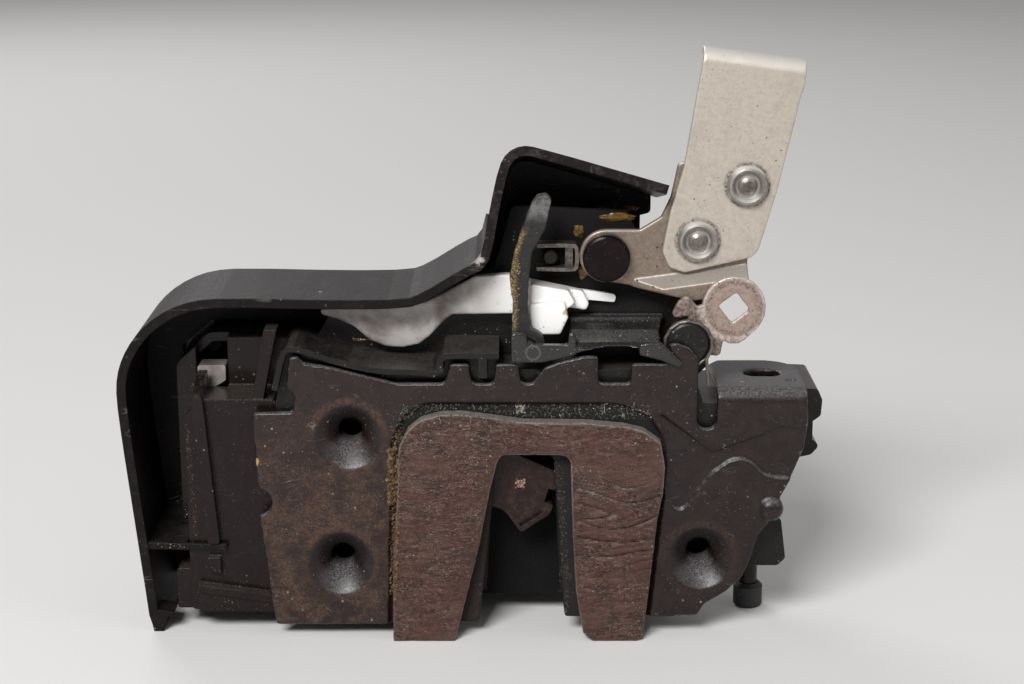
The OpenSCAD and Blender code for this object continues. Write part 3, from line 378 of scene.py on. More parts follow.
def paintDusty(values, amount):
    def paint(tree, where):
        grains = fade(tree, cloud(tree, where, 0.34, 3.0, 0.8), 0.38, 0.64)
        upward = fade(tree, facing(tree, (0, 0, 1)), 0.15, 0.9, 0.3, 1.0)
        film = times(tree,
                     fade(tree, cloud(tree, where, 3.4, 6.0, 0.72, 0.4), 0.38, 0.7, 0.02,
                          values["filmShare"]), upward)
        film = times(tree, film, fade(tree, grains, 0.0, 1.0, 0.35, 1.0))
        colour = tint(tree, film, values["plastic"], values["dust"])
        # pale tint on level ledges: dust and a painted highlight
        ledgeDustAndHighlight = times(tree, fade(tree, facing(tree, (0, 0, 1)), 0.95, 0.995, 0.0, values["ledgeDustAndHighlight"]),
                      fade(tree, grains, 0.1, 0.9, 0.3, 1.0))
        colour = tint(tree, ledgeDustAndHighlight, colour, values["dust"])
        dots = dustSpecks(tree, where, amount)
        colour = tint(tree, times(tree, dots, 0.85), colour, values["dust"])
        if "mouldMark" in values:
            cx, cz, radius = values["mouldMark"]
            mark = fade(tree, offLine(tree, offCentre(tree, where, cx, cz), radius), 0.3, 0.1)
            colour = tint(tree, times(tree, mark, 0.12), colour, values["dust"])
            dots = larger(tree, dots, mark)
        grainy = cloud(tree, where, 0.3, 3.0, 0.6)
        rough = plus(tree, fade(tree, grainy, 0.25, 0.75, *values["roughness"]),
                     times(tree, plus(tree, film, dots), 0.5))
        # painted shade: deep in the mouth and on the upper wall behind the levers the lining is darkened
        if "shadeFrom" in values:
            y, z = axisOf(tree, where, 1), axisOf(tree, where, 2)
            deep = times(tree, fade(tree, y, values["shadeFrom"], values["shadeFrom"] + 3.0),
                         fade(tree, z, 12.0, 9.0))
            deep = times(tree, deep, fade(tree, y, 14.0, 12.6))
            behind = times(tree, fade(tree, y, 10.0, 12.0), fade(tree, z, 32.0, 38.0))
            deep = larger(tree, deep, times(tree, behind, 0.85))
            colour = tint(tree, times(tree, deep, 0.9), colour, values["shade"])
            rough = plus(tree, rough, times(tree, deep, 0.5))
        return colour, rough, plus(tree, times(tree, grainy, 0.5), times(tree, dots, 0.5))
    return paint


guideFinish = {
    "plastic": (0.0095, 0.0080, 0.0082, 1),
    "dust": (0.40, 0.385, 0.365, 1),
    "filmShare": 0.06,
    "ledgeDustAndHighlight": 0.22,
    "roughness": (0.16, 0.30),
    "mouldMark": mouldRing,
}

caseFinish = {
    "plastic": (0.0072, 0.0034, 0.0032, 1),
    "dust": (0.28, 0.24, 0.20, 1),
    "filmShare": 0.09,
    "ledgeDustAndHighlight": 0.16,
    "roughness": (0.16, 0.3),
}

shroudFinish = {
    "plastic": (0.0056, 0.0038, 0.0038, 1),
    "film": (0.075, 0.062, 0.060, 1),
    "scuff": (0.42, 0.39, 0.375, 1),
    "scuffPlace": (-9.4, 4.0, 47.1),    # mm
    "scuffRadius": 2.0,
    "scratch": (0.33, 0.3, 0.29, 1),
    "rubbedAndHighlight": (0.15, 0.12, 0.11, 1),
    "specks": (0.3, 0.28, 0.25, 1),
    "chalk": (0.62, 0.6, 0.56, 1),
    "chalkPlace": (-41.5, 10.0, 38.9),
    "chalkRadius": 0.6,
}


def paintShroud(tree, where):
    v = shroudFinish
    grains = fade(tree, cloud(tree, where, 0.4, 3.0, 0.8), 0.38, 0.64)
    upward = fade(tree, facing(tree, (0, 0, 1)), 0.3, 0.95)
    hazy = times(tree, fade(tree, cloud(tree, where, 7.0, 6.0, 0.72, 0.3), 0.36, 0.7, 0.06, 0.42), upward)
    hazy = times(tree, hazy, fade(tree, grains, 0.0, 1.0, 0.45, 1.0))
    colour = tint(tree, hazy, v["plastic"], v["film"])
    long = inMillimetres(tree, (0.08, 0.9, 0.3))
    scratch = times(tree, threads(tree, long, 2.0, 0.012, 3.0, 0.7),
                    fade(tree, cloud(tree, where, 5.0, 3.0), 0.48, 0.66))
    colour = tint(tree, times(tree, scratch, 0.2), colour, v["scratch"])
    # rubbed wear on the front rim, with a painted highlight that grows towards the hood on the right
    rim = times(tree, fade(tree, facing(tree, (0, -1, 0)), 0.55, 0.8),
                fade(tree, axisOf(tree, where, 1), 3.9, 3.2))
    rubbedAndHighlight = times(tree, rim, fade(tree, cloud(tree, where, 2.4, 6.0, 0.75, 0.3), 0.46, 0.68, 0.02, 0.24))
    rubbedAndHighlight = times(tree, rubbedAndHighlight, fade(tree, axisOf(tree, where, 0), -16.0, -6.0, 0.2, 1.0))
    colour = tint(tree, rubbedAndHighlight, colour, v["rubbedAndHighlight"])
    worn = spot(tree, where, v["scuffPlace"], v["scuffRadius"], 0.5)
    worn = times(tree, worn, fade(tree, cloud(tree, where, 0.5, 4.0, 0.8), 0.3, 0.55))
    colour = tint(tree, worn, colour, v["scuff"])
    colour = tint(tree, spot(tree, where, v["chalkPlace"], v["chalkRadius"], 0.3), colour, v["chalk"])
    colour = tint(tree, times(tree, dustSpecks(tree, where, 0.4), 0.5), colour, v["specks"])
    leather = cloud(tree, where, 0.34, 2.0, 0.5)
    rough = plus(tree, fade(tree, leather, 0.3, 0.7, 0.34, 0.5), times(tree, larger(tree, worn, hazy), 0.3))
    height = plus(tree, times(tree, leather, 0.6), times(tree, worn, 0.4))
    return colour, rough, height


nylonFinish = {
    "nylon": (0.90, 0.885, 0.865, 1),
    "shade": (0.10, 0.070, 0.060, 1),
    "shadeRange": (0.0, -15.0),     # mm, painted shade grows from the first x to the second
    "dirt": (0.12, 0.08, 0.05, 1),
    "greaseAndShade": (0.42, 0.26, 0.05, 1),
    "greaseDabs": (((10.4, 9.0, 42.4), 2.0), ((8.6, 5.4, 35.4), 0.9)),     # mm, place and radius
}


def paintNylon(tree, where):
    v = nylonFinish
    # painted shadow of the shroud over the left of the lever, patchy
    left = fade(tree, axisOf(tree, where, 0), *v["shadeRange"], 0.0, 0.95)
    shroudShadow = times(tree, left, fade(tree, cloud(tree, where, 7.0, 5.0, 0.6, 0.4), 0.3, 0.7, 0.65, 1.0))
    colour = tint(tree, shroudShadow, v["nylon"], v["shade"])
    # painted shade on faces turned away from the front
    edge = times(tree, fade(tree, facing(tree, (0, -1, 0)), 0.8, 0.4), 0.22)
    colour = tint(tree, edge, colour, v["shade"])
    dots = times(tree, specks(tree, where, 0.45, 0.07), fade(tree, cloud(tree, where, 4.0), 0.45, 0.6))
    smear = times(tree, fade(tree, cloud(tree, where, 2.2, 6.0, 0.78), 0.6, 0.74), 0.3)
    colour = tint(tree, larger(tree, smear, times(tree, dots, 0.8)), colour, v["dirt"])
    for place, radius in v["greaseDabs"]:
        colour = tint(tree, times(tree, spot(tree, where, place, radius), 0.75), colour, v["greaseAndShade"])
    return colour, fade(tree, cloud(tree, where, 1.0), 0.3, 0.7, 0.3, 0.46), cloud(tree, where, 0.6)


rivetCentres = ((44.5, 61.2), (34.9, 49.9))     # mm, x and z

armFinish = {
    "zinc": (0.505, 0.445, 0.385, 1),
    "cloudy": (0.30, 0.255, 0.21, 1),
    "pale": (0.80, 0.77, 0.72, 1),
    "speck": (0.035, 0.03, 0.028, 1),
    "roughness": (0.32, 0.5),
    "mottled": 0.4,
    "upperShine": 0.7,
    "grimeAndShadowRings": rivetCentres,
}

rivetFinish = {
    "zinc": (0.30, 0.275, 0.25, 1),
    "cloudy": (0.14, 0.12, 0.105, 1),
    "pale": (0.82, 0.80, 0.76, 1),
    "speck": (0.04, 0.034, 0.03, 1),
    "roughness": (0.3, 0.46),
    "mottled": 0.5,
    "upperShine": 0.7,
    "centres": rivetCentres,
    "centreGrime": (0.075, 0.052, 0.042, 1),    # sits in the middle of each head
}

leverFinish = {
    "zinc": (0.22, 0.165, 0.125, 1),
    "cloudy": (0.15, 0.11, 0.085, 1),
    "pale": (0.74, 0.72, 0.67, 1),
    "speck": (0.03, 0.025, 0.023, 1),
    "roughness": (0.34, 0.54),
    "mottled": 0.75,
    "upperShine": 0.35,
}

eyeFinish = {
    "zinc": (0.356, 0.26, 0.216, 1),
    "cloudy": (0.166, 0.113, 0.093, 1),
    "pale": (0.676, 0.626, 0.583, 1),
    "speck": (0.03, 0.024, 0.022, 1),
    "roughness": (0.36, 0.56),
    "mottled": 0.6,
    "upperShine": 0.6,
    "eyeCentre": (42.2, 36.8),      # mm
    "eyeRadius": 6.3,
}


# plated steel gone dull: mottled, specked, with a painted highlight where an edge or a bend turns up
def paintZinc(values, speckle):
    def paint(tree, where):
        mottle = cloud(tree, where, 1.3, 6.0, 0.72, 0.3)
        broad = cloud(tree, inMillimetres(tree, (1.0, 1.0, 0.45)), 7.0, 5.0, 0.62, 0.4)
        fleck = fade(tree, cloud(tree, where, 0.3, 3.0, 0.8), 0.4, 0.64)
        colour = tint(tree, fade(tree, mottle, 0.38, 0.66, 0.0, values["mottled"]), values["zinc"],
                      values["cloudy"])
        colour = tint(tree, fade(tree, broad, 0.46, 0.72, 0.0, 0.4), colour, values["cloudy"])
        colour = tint(tree, times(tree, fleck, 0.1), colour, values["pale"])
        # painted highlight on faces turned up and towards the front
        colour = tint(tree, fade(tree, facing(tree, (0, -0.25, 1)), 0.42, 0.9, 0.0, values["upperShine"]),
                      colour, values["pale"])
        scratch = times(tree, threads(tree, inMillimetres(tree, (0.7, 1, 0.5)), 4.0, 0.006, 3.0, 1.2),
                        fade(tree, cloud(tree, where, 5.0, 2.0), 0.5, 0.62))
        colour = tint(tree, times(tree, scratch, 0.4), colour, values["cloudy"])
        gather = fade(tree, cloud(tree, where, 4.5, 4.0, 0.65), 0.44, 0.66, 0.12, 1.0)
        fine = times(tree, specks(tree, where, 0.36, 0.16 * speckle), gather)
        large = times(tree, specks(tree, where, 1.0, 0.08 * speckle),
                      fade(tree, cloud(tree, where, 0.35, 3.0), 0.42, 0.55))
        dark = larger(tree, times(tree, fine, 0.8), large)
        # dark rings round the rivet heads: grime and a painted contact shadow
        for cx, cz in values.get("grimeAndShadowRings", ()):
            away = offCentre(tree, where, cx, cz)
            ring = times(tree, fade(tree, away, 5.0, 4.3),
                         fade(tree, cloud(tree, where, 0.6, 4.0, 0.75), 0.42, 0.6, 0.2, 0.95))
            dark = larger(tree, dark, ring)
        if "eyeCentre" in values:
            cx, cz = values["eyeCentre"]
            away = offCentre(tree, where, cx, cz)
            worn = times(tree, fade(tree, away, values["eyeRadius"] - 0.7, values["eyeRadius"] - 0.1),
                         fade(tree, away, 8.0, 7.0))
            colour = tint(tree,
                          times(tree, worn,
                                fade(tree, cloud(tree, where, 1.0, 4.0, 0.7), 0.4, 0.6, 0.05, 0.6)), colour,
                          values["pale"])
            edge = offLine(tree, away, values["eyeRadius"] - 1.1)
            grime = times(tree, fade(tree, edge, 0.8, 0.1),
                          fade(tree, cloud(tree, where, 0.5, 5.0, 0.8), 0.46, 0.62, 0.0, 0.8))
            neck = times(tree, fade(tree, away, 6.2, 7.4),
                         fade(tree, cloud(tree, where, 0.8, 5.0, 0.75), 0.4, 0.6, 0.15, 0.85))
            dark = larger(tree, dark, larger(tree, grime, neck))
        for cx, cz in values.get("centres", ()):
            away = offCentre(tree, where, cx, cz)
            middle = times(tree, fade(tree, away, 2.1, 0.9),
                           fade(tree, cloud(tree, where, 0.9, 4.0, 0.7), 0.34, 0.6, 0.45, 0.85))
            colour = tint(tree, middle, colour, values["centreGrime"])
        colour = tint(tree, times(tree, dark, 0.85), colour, values["speck"])
        rough = plus(tree, fade(tree, mottle, 0.3, 0.7, *values["roughness"]), times(tree, dark, 0.3))
        rolled = cloud(tree, where, 0.26, 3.0, 0.6)
        height = less(tree, plus(tree, times(tree, rolled, 0.4), times(tree, mottle, 0.6)),
                      times(tree, dark, 0.5))
        return colour, rough, height
    return paint


sillFinish = {
    "plastic": (0.0085, 0.0072, 0.0070, 1),
    "crust": (0.095, 0.060, 0.025, 1),
    "crustPale": (0.50, 0.38, 0.19, 1),
    # grey of the rubbed tip, which also stands for its painted highlight
    "worn": (0.16, 0.155, 0.15, 1),
    "specks": (0.4, 0.34, 0.24, 1),
    "leftEdge": -2.5,               # mm, x of the straight part
    "leanRange": (46.0, 60.0),      # mm, heights between which the edge leans right
    "leanBy": 4.6,                  # mm
    "crustWidth": 1.5,              # mm in from the left edge
    "paleTipFrom": 54.0,               # mm, height where the paler tip, rubbed and with a painted highlight, starts
}


# crust sits along the left edge, which runs straight up and then leans right
def paintSill(tree, where):
    v = sillFinish
    x, z = axisOf(tree, where, 0), axisOf(tree, where, 2)
    edge = fade(tree, z, *v["leanRange"], v["leftEdge"], v["leftEdge"] + v["leanBy"])
    inward = calc(tree, "SUBTRACT", x, edge)
    grains = fade(tree, cloud(tree, where, 0.3, 4.0, 0.8), 0.36, 0.62)
    span = times(tree, fade(tree, z, 31.0, 34.0), fade(tree, z, 54.5, 51.0))
    crust = times(tree, fade(tree, inward, v["crustWidth"], 0.3), span)
    crust = times(tree, crust, fade(tree, cloud(tree, where, 0.8, 5.0, 0.75), 0.34, 0.52))
    # paler tip: rubbed wear and a painted highlight
    rubbedAndHighlight = times(tree, fade(tree, z, v["paleTipFrom"], v["paleTipFrom"] + 3.0),
                   fade(tree, cloud(tree, where, 1.5, 5.0, 0.7), 0.34, 0.6, 0.25, 0.95))
    colour = tint(tree, times(tree, grains, 0.07), v["plastic"], v["worn"])
    colour = tint(tree, rubbedAndHighlight, colour, v["worn"])
    colour = tint(tree, crust, colour, v["crust"])
    colour = tint(tree, times(tree, crust, fade(tree, grains, 0.6, 0.85, 0.0, 0.8)), colour, v["crustPale"])
    colour = tint(tree, times(tree, dustSpecks(tree, where, 1.2), 0.8), colour, v["specks"])
    rough = plus(tree, fade(tree, grains, 0.0, 1.0, 0.3, 0.5), times(tree, crust, 0.4))
    return colour, rough, plus(tree, times(tree, grains, 0.3), times(tree, crust, 0.7))


plainSpecks = (0.2, 0.17, 0.14, 1)

plainFinishes = {
    # name: colour, colour of the patches, their size in mm, roughness
    "clipSteel": ((0.16, 0.14, 0.125, 1), (0.05, 0.04, 0.034, 1), 1.2, (0.26, 0.46)),
    "zincDark": ((0.33, 0.32, 0.31, 1), (0.22, 0.21, 0.2, 1), 2.0, (0.32, 0.5)),
    "greasySteel": ((0.030, 0.022, 0.019, 1), (0.012, 0.009, 0.008, 1), 1.5, (0.3, 0.5)),
    "springWire": ((0.5, 0.49, 0.47, 1), (0.24, 0.2, 0.17, 1), 1.2, (0.24, 0.42)),
    "pinHead": ((0.0042, 0.0013, 0.0014, 1), (0.009, 0.004, 0.004, 1), 3.0, (0.16, 0.28)),
    "clawJacket": ((0.015, 0.0070, 0.0062, 1), (0.040, 0.020, 0.016, 1), 1.6, (0.26, 0.46)),
    "softRubber": ((0.012, 0.0115, 0.0115, 1), (0.03, 0.028, 0.026, 1), 1.5, (0.55, 0.7)),
    "brassPart": ((0.62, 0.47, 0.22, 1), (0.4, 0.28, 0.12, 1), 1.4, (0.22, 0.4)),
    "motorCan": ((0.48, 0.47, 0.45, 1), (0.36, 0.35, 0.33, 1), 3.5, (0.25, 0.38)),
}


def paintPlain(kind):
    first, second, size, rough = plainFinishes[kind]

    def paint(tree, where):
        patch = cloud(tree, where, size, 6.0, 0.7, 0.2)
        colour = tint(tree, fade(tree, patch, 0.42, 0.7), first, second)
        colour = tint(tree, times(tree, dustSpecks(tree, where, 0.7), 0.6), colour, plainSpecks)
        return colour, fade(tree, patch, 0.3, 0.7, *rough), cloud(tree, where, 0.3, 3.0)
    return paint


# how strongly the black parts shine
glossLevel = {"least": 0.14, "low": 0.24, "middle": 0.36, "high": 0.55}


def gloss(level):
    return {"Specular IOR Level": glossLevel[level]}


finishTable = {
    # name: paint, rounding of edges and relief in mm, what else the shader is given
    "plateCoat": (paintPlate, 0.0, 0.07, gloss("middle")),
    "framePlastic": (paintDusty(frameFinish, 1.0), 0.3, 0.05, gloss("low")),
    "guidePlastic": (paintDusty(guideFinish, 1.3), 0.0, 0.03, gloss("high")),
    "casePlastic": (paintDusty(caseFinish, 0.8), 0.35, 0.02, gloss("low")),
    "shroudPlastic": (paintShroud, 0.4, 0.045, gloss("least")),
    "sillPlastic": (paintSill, 0.0, 0.14, gloss("middle")),
    "whiteNylon": (paintNylon, 0.25, 0.02, {"Subsurface Weight": 0.12, "Subsurface Scale": 0.001}),
    "armZinc": (paintZinc(armFinish, 0.8), 0.0, 0.05, {"Metallic": 0.45}),
    "rivetZinc": (paintZinc(rivetFinish, 0.9), 0.15, 0.03, {"Metallic": 0.6}),
    "clipSteel": (paintPlain("clipSteel"), 0.1, 0.03, {"Metallic": 0.6}),
    "leverZinc": (paintZinc(leverFinish, 1.2), 0.0, 0.05, {"Metallic": 0.5}),
    "eyeZinc": (paintZinc(eyeFinish, 2.4), 0.0, 0.07, {"Metallic": 0.4}),
    "zincDark": (paintPlain("zincDark"), 0.15, 0.03, {"Metallic": 0.9}),
    "springWire": (paintPlain("springWire"), 0.0, 0.02, {"Metallic": 0.8}),
    "pinHead": (paintPlain("pinHead"), 0.3, 0.015, gloss("least")),
    "greasySteel": (paintPlain("greasySteel"), 0.15, 0.03, {"Metallic": 0.5}),
    "clawJacket": (paintPlain("clawJacket"), 0.3, 0.05, gloss("low")),
    "softRubber": (paintPlain("softRubber"), 0.25, 0.05, {}),
    "brassPart": (paintPlain("brassPart"), 0.1, 0.01, {"Metallic": 1.0}),
    "motorCan": (paintPlain("motorCan"), 0.4, 0.01, {"Metallic": 1.0}),
}
finishes = {name: finishSurface(name, *values) for name, values in finishTable.items()}

dressing = {
    "framePlastic": ["latch_frame", "spring_boss", "transfer_link"],
    "casePlastic": ["side_case", "rear_cover", "microswitch", "connector_socket", "clip_pin", "foot_peg"],
    "shroudPlastic": ["shroud"],
    "whiteNylon": ["lock_link", "worm_wheel", "drive_slider"],
    "rivetZinc": ["rivet_upper", "rivet_lower"],
    "clipSteel": ["u_clip", "eye_spring"],
    "greasySteel": ["claw"],
    "zincDark": ["back_plate", "claw_pin", "pawl", "pawl_pin", "cover_screw_set", "wheel_pin"],
    "springWire": ["claw_spring", "pawl_spring"],
    "pinHead": ["lever_pin"],
    "clawJacket": ["claw_jacket"],
    "softRubber": ["mouth_bumper", "foot_tip"],
    "brassPart": ["worm", "terminals"],
    "motorCan": ["lock_motor"],
}
for finish, names in dressing.items():
    for name in names:
        dress(nodes[name], finishes[finish])
print("finishes ready:", len(finishes))


foamPad = {
    "voxel": 0.30,                  # mm
    "soften": 12,                   # rounds of smoothing that round the rim
    "crown": 0.22,                  # mm
    "crownReach": 3.5,              # mm in from the rim where the crown is full
    "uneven": 0.22,                 # mm, slow rise and fall of the skin
    "sideRough": 0.10,              # mm, roughness of the cut sides
    "frontDepth": 0.9,              # mm, how far back the skin's own shape reaches
    "glued": 0.6,                   # mm at the back that stay flat on the plate
    "fineCrease": 0.17,             # mm deep
    "deepCrease": 0.85,
    "creaseZone": (9.0, 30.0, -17.0, 3.0),   # mm, x and z range of the deep folds on the right leg
    "skin": (0.062, 0.020, 0.013, 1),
    "worn": (0.080, 0.038, 0.027, 1),
    "deep": (0.030, 0.012, 0.009, 1),
    "sheen": (0.30, 0.21, 0.17, 1),
    "crack": (0.012, 0.006, 0.005, 1),
    "rim": (0.27, 0.25, 0.225, 1),
    "specks": (0.44, 0.37, 0.31, 1),
}


# the plain mesh that an object's modifiers give; the object itself goes
def plainMesh(holder):
    graph = bpy.context.evaluated_depsgraph_get()
    mesh = bpy.data.meshes.new_from_object(holder.evaluated_get(graph), depsgraph=graph)
    bpy.data.objects.remove(holder)
    return mesh


# a merged, evenly meshed copy of a CAD part
def solidCopy(name, voxel):
    source = nodes[name].data.copy()
    work = bmesh.new()
    work.from_mesh(source)
    bmesh.ops.remove_doubles(work, verts=work.verts, dist=0.00001)
    bmesh.ops.recalc_face_normals(work, faces=work.faces)
    work.to_mesh(source)
    work.free()
    holder = linked(name + "Even", source)
    even = holder.modifiers.new("even", "REMESH")
    even.mode = "VOXEL"
    even.voxel_size = voxel * mm
    even.adaptivity = 0.0
    return plainMesh(holder)


def paintFoam(tree, where):
    v = foamPad
    across = inMillimetres(tree, (0.3, 0.8, 1.0))
    wrinkle = cloud(tree, across, 0.27, 4.0, 0.65, 0.6)
    patches = fade(tree, cloud(tree, where, 5.0, 4.0, 0.6), 0.42, 0.56, 0.2, 1.0)
    lines = times(tree, patches,
                  larger(tree, threads(tree, across, 1.3, 0.010, 5.0, 0.5),
                         times(tree, threads(tree, across, 0.5, 0.022, 3.0, 0.8), 0.7)))
    pores = cloud(tree, where, 0.22, 3.0, 0.7)
    flat = fade(tree, facing(tree, (0, -1, 0)), 0.97, 0.6)
    colour = tint(tree, fade(tree, cloud(tree, where, 9.0, 6.0, 0.68, 0.3), 0.38, 0.64), v["skin"], v["worn"])
    colour = tint(tree, fade(tree, cloud(tree, where, 4.0, 5.0, 0.7, 0.3), 0.46, 0.62, 0.0, 0.7), colour,
                  v["deep"])
    colour = tint(tree, times(tree, patches, fade(tree, wrinkle, 0.56, 0.68, 0.0, 0.3)), colour, v["sheen"])
    colour = tint(tree, times(tree, patches, fade(tree, wrinkle, 0.46, 0.34, 0.0, 0.5)), colour, v["crack"])
    colour = tint(tree, times(tree, lines, 0.4), colour, v["crack"])
    colour = tint(tree, fade(tree, pores, 0.6, 0.7, 0.0, 0.5), colour, v["sheen"])
    glint = times(tree, threads(tree, across, 0.42, 0.06, 3.0, 0.9), fade(tree, pores, 0.47, 0.58))
    colour = tint(tree, times(tree, glint, patches, 0.75), colour, v["sheen"])
    colour = tint(tree, fade(tree, pores, 0.38, 0.28, 0.0, 0.45), colour, v["crack"])
    dusty = times(tree, flat, fade(tree, cloud(tree, where, 0.6, 5.0, 0.8), 0.32, 0.56, 0.1, 0.9))
    dusty = times(tree, dusty, fade(tree, axisOf(tree, where, 2), -14.0, 6.0, 0.35, 1.0))
    colour = tint(tree, dusty, colour, v["rim"])
    colour = tint(tree, times(tree, dustSpecks(tree, where, 1.1), 0.75), colour, v["specks"])
    ridge = less(tree, plus(tree, times(tree, wrinkle, 0.62), times(tree, pores, 0.38)),
                 times(tree, lines, 0.5))
    return colour, fade(tree, pores, 0.3, 0.7, 0.26, 0.5), ridge


def smoothed(work, verts, rounds):
    for _ in range(rounds):
        bmesh.ops.smooth_vert(work, verts=verts, factor=0.5,
                              use_axis_x=True, use_axis_y=True, use_axis_z=True)
    work.normal_update()


# writes the worked shape back and gives it its finish
def closeMesh(work, mesh, material):
    bmesh.ops.recalc_face_normals(work, faces=work.faces)
    for face in work.faces:
        face.smooth = True
    work.to_mesh(mesh)
    work.free()
    mesh.materials.clear()
    mesh.materials.append(material)


softPieces = {
    # name: CAD part, body, slot, finish, mesh size, rounds of smoothing, depth and width of dents in mm
    "pressedPlate": ("face_plate", "base", "coated_steel", "plateCoat", 0.38, 5, 0.07, 9.0),
    "guideMoulding": ("lever_guide", "base", "black_plastic", "guidePlastic", 0.27, 3, 0.02, 6.0),
    "sillMoulding": ("sill_lever", "sill", "black_plastic", "sillPlastic", 0.2, 5, 0.12, 1.6),
    "nylonMoulding": ("lock_lever", "lock", "white_nylon", "whiteNylon", 0.28, 3, 0.02, 6.0),
    "eyeStamping": ("eye_lever", "eye", "eye_steel", "eyeZinc", 0.16, 4, 0.05, 1.4),
    "leverStamping": ("release_lever", "release", "lever_steel", "leverZinc", 0.24, 3, 0.02, 4.0),
    "armStamping": ("lever_arm", "release", "lever_steel", "armZinc", 0.24, 3, 0.035, 5.0),
}


# a CAD part redrawn with the rounded edges, soft steps and slight dents that pressing or moulding leaves
def buildSoft(name, part, body, slot, finish, voxel, rounds, dent, width):
    mesh = solidCopy(part, voxel)
    work = bmesh.new()
    work.from_mesh(mesh)
    smoothed(work, work.verts, rounds)
    for vert in work.verts:
        place = vert.co / mm / width
        vert.co += vert.normal * noise.noise(Vector((place.x, 3.0, place.z))) * dent * mm
    closeMesh(work, mesh, finishes[finish])
    piece = linked(name, mesh)
    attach(piece, body)
    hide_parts(part)
    print("redrawn", name, len(mesh.polygons), "faces")


for pieceName, values in softPieces.items():
    buildSoft(pieceName, *values)


# how far the skin sinks at a place, in mm
def creaseDepth(x, z, v):
    warp = noise.noise(Vector((x * 0.07, z * 0.07, 4.0))) * 2.6
    fine = 1 - abs(noise.noise(Vector((x * 0.16, (z + warp) * 1.15, 1.0)))) * 5.0
    middle = 1 - abs(noise.noise(Vector((x * 0.09, (z + warp) * 0.5, 9.0)))) * 6.0
    patch = min(1.0, max(0.15, 0.6 + 2.2 * noise.noise(Vector((x * 0.1, z * 0.1, 15.0)))))
    depth = v["fineCrease"] * patch * max(0.0, fine) + v["fineCrease"] * 1.2 * max(0.0, middle)
    left, right, low, high = v["creaseZone"]
    inside = min(1.0, max(0.0, min(x - left, right - x, z - low, high - z) / 3.0))
    if inside > 0:
        fold = 1 - abs(noise.noise(Vector((x * 0.055 + 7, (z - x * 0.16 + warp) * 0.30, 2.0)))) * 9.0
        depth += v["deepCrease"] * max(0.0, fold) ** 1.5 * inside
    return depth


def buildFoam(v):
    mesh = solidCopy("foam_seal", v["voxel"])
    work = bmesh.new()
    work.from_mesh(mesh)
    low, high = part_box("foam_seal")
    back = high.y - v["glued"] * mm
    depth = v["frontDepth"] * mm
    moving = [vert for vert in work.verts if vert.co.y < back]
    rest = KDTree(len(work.verts))
    for vert in work.verts:
        if abs(vert.normal.y) < 0.6:
            rest.insert((vert.co.x, 0, vert.co.z), vert.index)
    rest.balance()
    smoothed(work, moving, v["soften"])
    for vert in moving:
        x, z = vert.co.x / mm, vert.co.z / mm
        gap = rest.find((vert.co.x, 0, vert.co.z))[2] / mm
        front = max(0.0, min(1.0, (low.y + depth - vert.co.y) / depth))
        swell = v["crown"] * min(1.0, gap / v["crownReach"])
        swell += v["uneven"] * noise.noise(Vector((x * 0.12, 0, z * 0.12)))
        sink = creaseDepth(x, z, v) * min(1.0, 0.35 + gap / 1.2)
        vert.co.y -= (swell - sink) * mm * front
        if front < 1:
            rough = noise.noise(Vector((x * 0.9, vert.co.y / mm * 0.9, z * 0.9))) * v["sideRough"]
            vert.co += vert.normal * rough * mm * (1 - front)
    closeMesh(work, mesh, finishSurface("foamSkin", paintFoam, 0.0, 0.26, gloss("middle")))
    pad = linked("foamSeal", mesh)
    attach(pad, "base")
    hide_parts("foam_seal")
    return pad


foam = buildFoam(foamPad)
print("foam seal ready:", len(foam.data.polygons), "faces")


# one search tree over CAD parts and finished pieces
def surfaceTree(names):
    points, faces = [], []
    for name in names:
        mesh = bpy.data.objects[name].data if name in bpy.data.objects else nodes[name].data
        base = len(points)
        points += [vert.co.copy() for vert in mesh.vertices]
        faces += [[base + i for i in face.vertices] for face in mesh.polygons]
    return BVHTree.FromPolygons(points, faces)


redrawn = ["foam_seal"] + [values[0] for values in softPieces.values()]
frontSurfaces = surfaceTree([name for name in nodes if name not in redrawn] + ["foamSeal"] + list(softPieces))

viewStart = -20.0       # mm, where looks from the front begin
netLift = 0.02          # mm, how far a net lies off the surface
steepest = 2.5          # a net leaves out cells that rise more than this many steps


# the first surface that a look from the front meets at x and z in mm
def frontHit(x, z):
    place, normal, _, _ = frontSurfaces.ray_cast(Vector((x, viewStart, z)) * mm, Vector((0, 1, 0)))
    return place, normal


# a thin net laid on the surfaces seen from the front; lengths in mm
def patchFrom(name, left, right, low, high, step, lean):
    across = max(1, round((right - left) / step))
    down = max(1, round((high - low) / step))
    found = {}
    points = []
    for i in range(across + 1):
        for j in range(down + 1):
            z = low + (high - low) * j / down
            x = left + (right - left) * i / across + lean * (z - low)
            hit, normal = frontHit(x, z)
            if hit is not None:
                found[i, j] = len(points)
                points.append(hit + normal * netLift * mm)
    faces = []
    for (i, j) in found:
        corners = [(i, j), (i + 1, j), (i + 1, j + 1), (i, j + 1)]
        if all(c in found for c in corners):
            ys = [points[found[c]].y for c in corners]
            if max(ys) - min(ys) < step * mm * steepest:
                faces.append([found[c] for c in corners])
    mesh = bpy.data.meshes.new(name)
    mesh.from_pydata(points, [], faces)
    return mesh


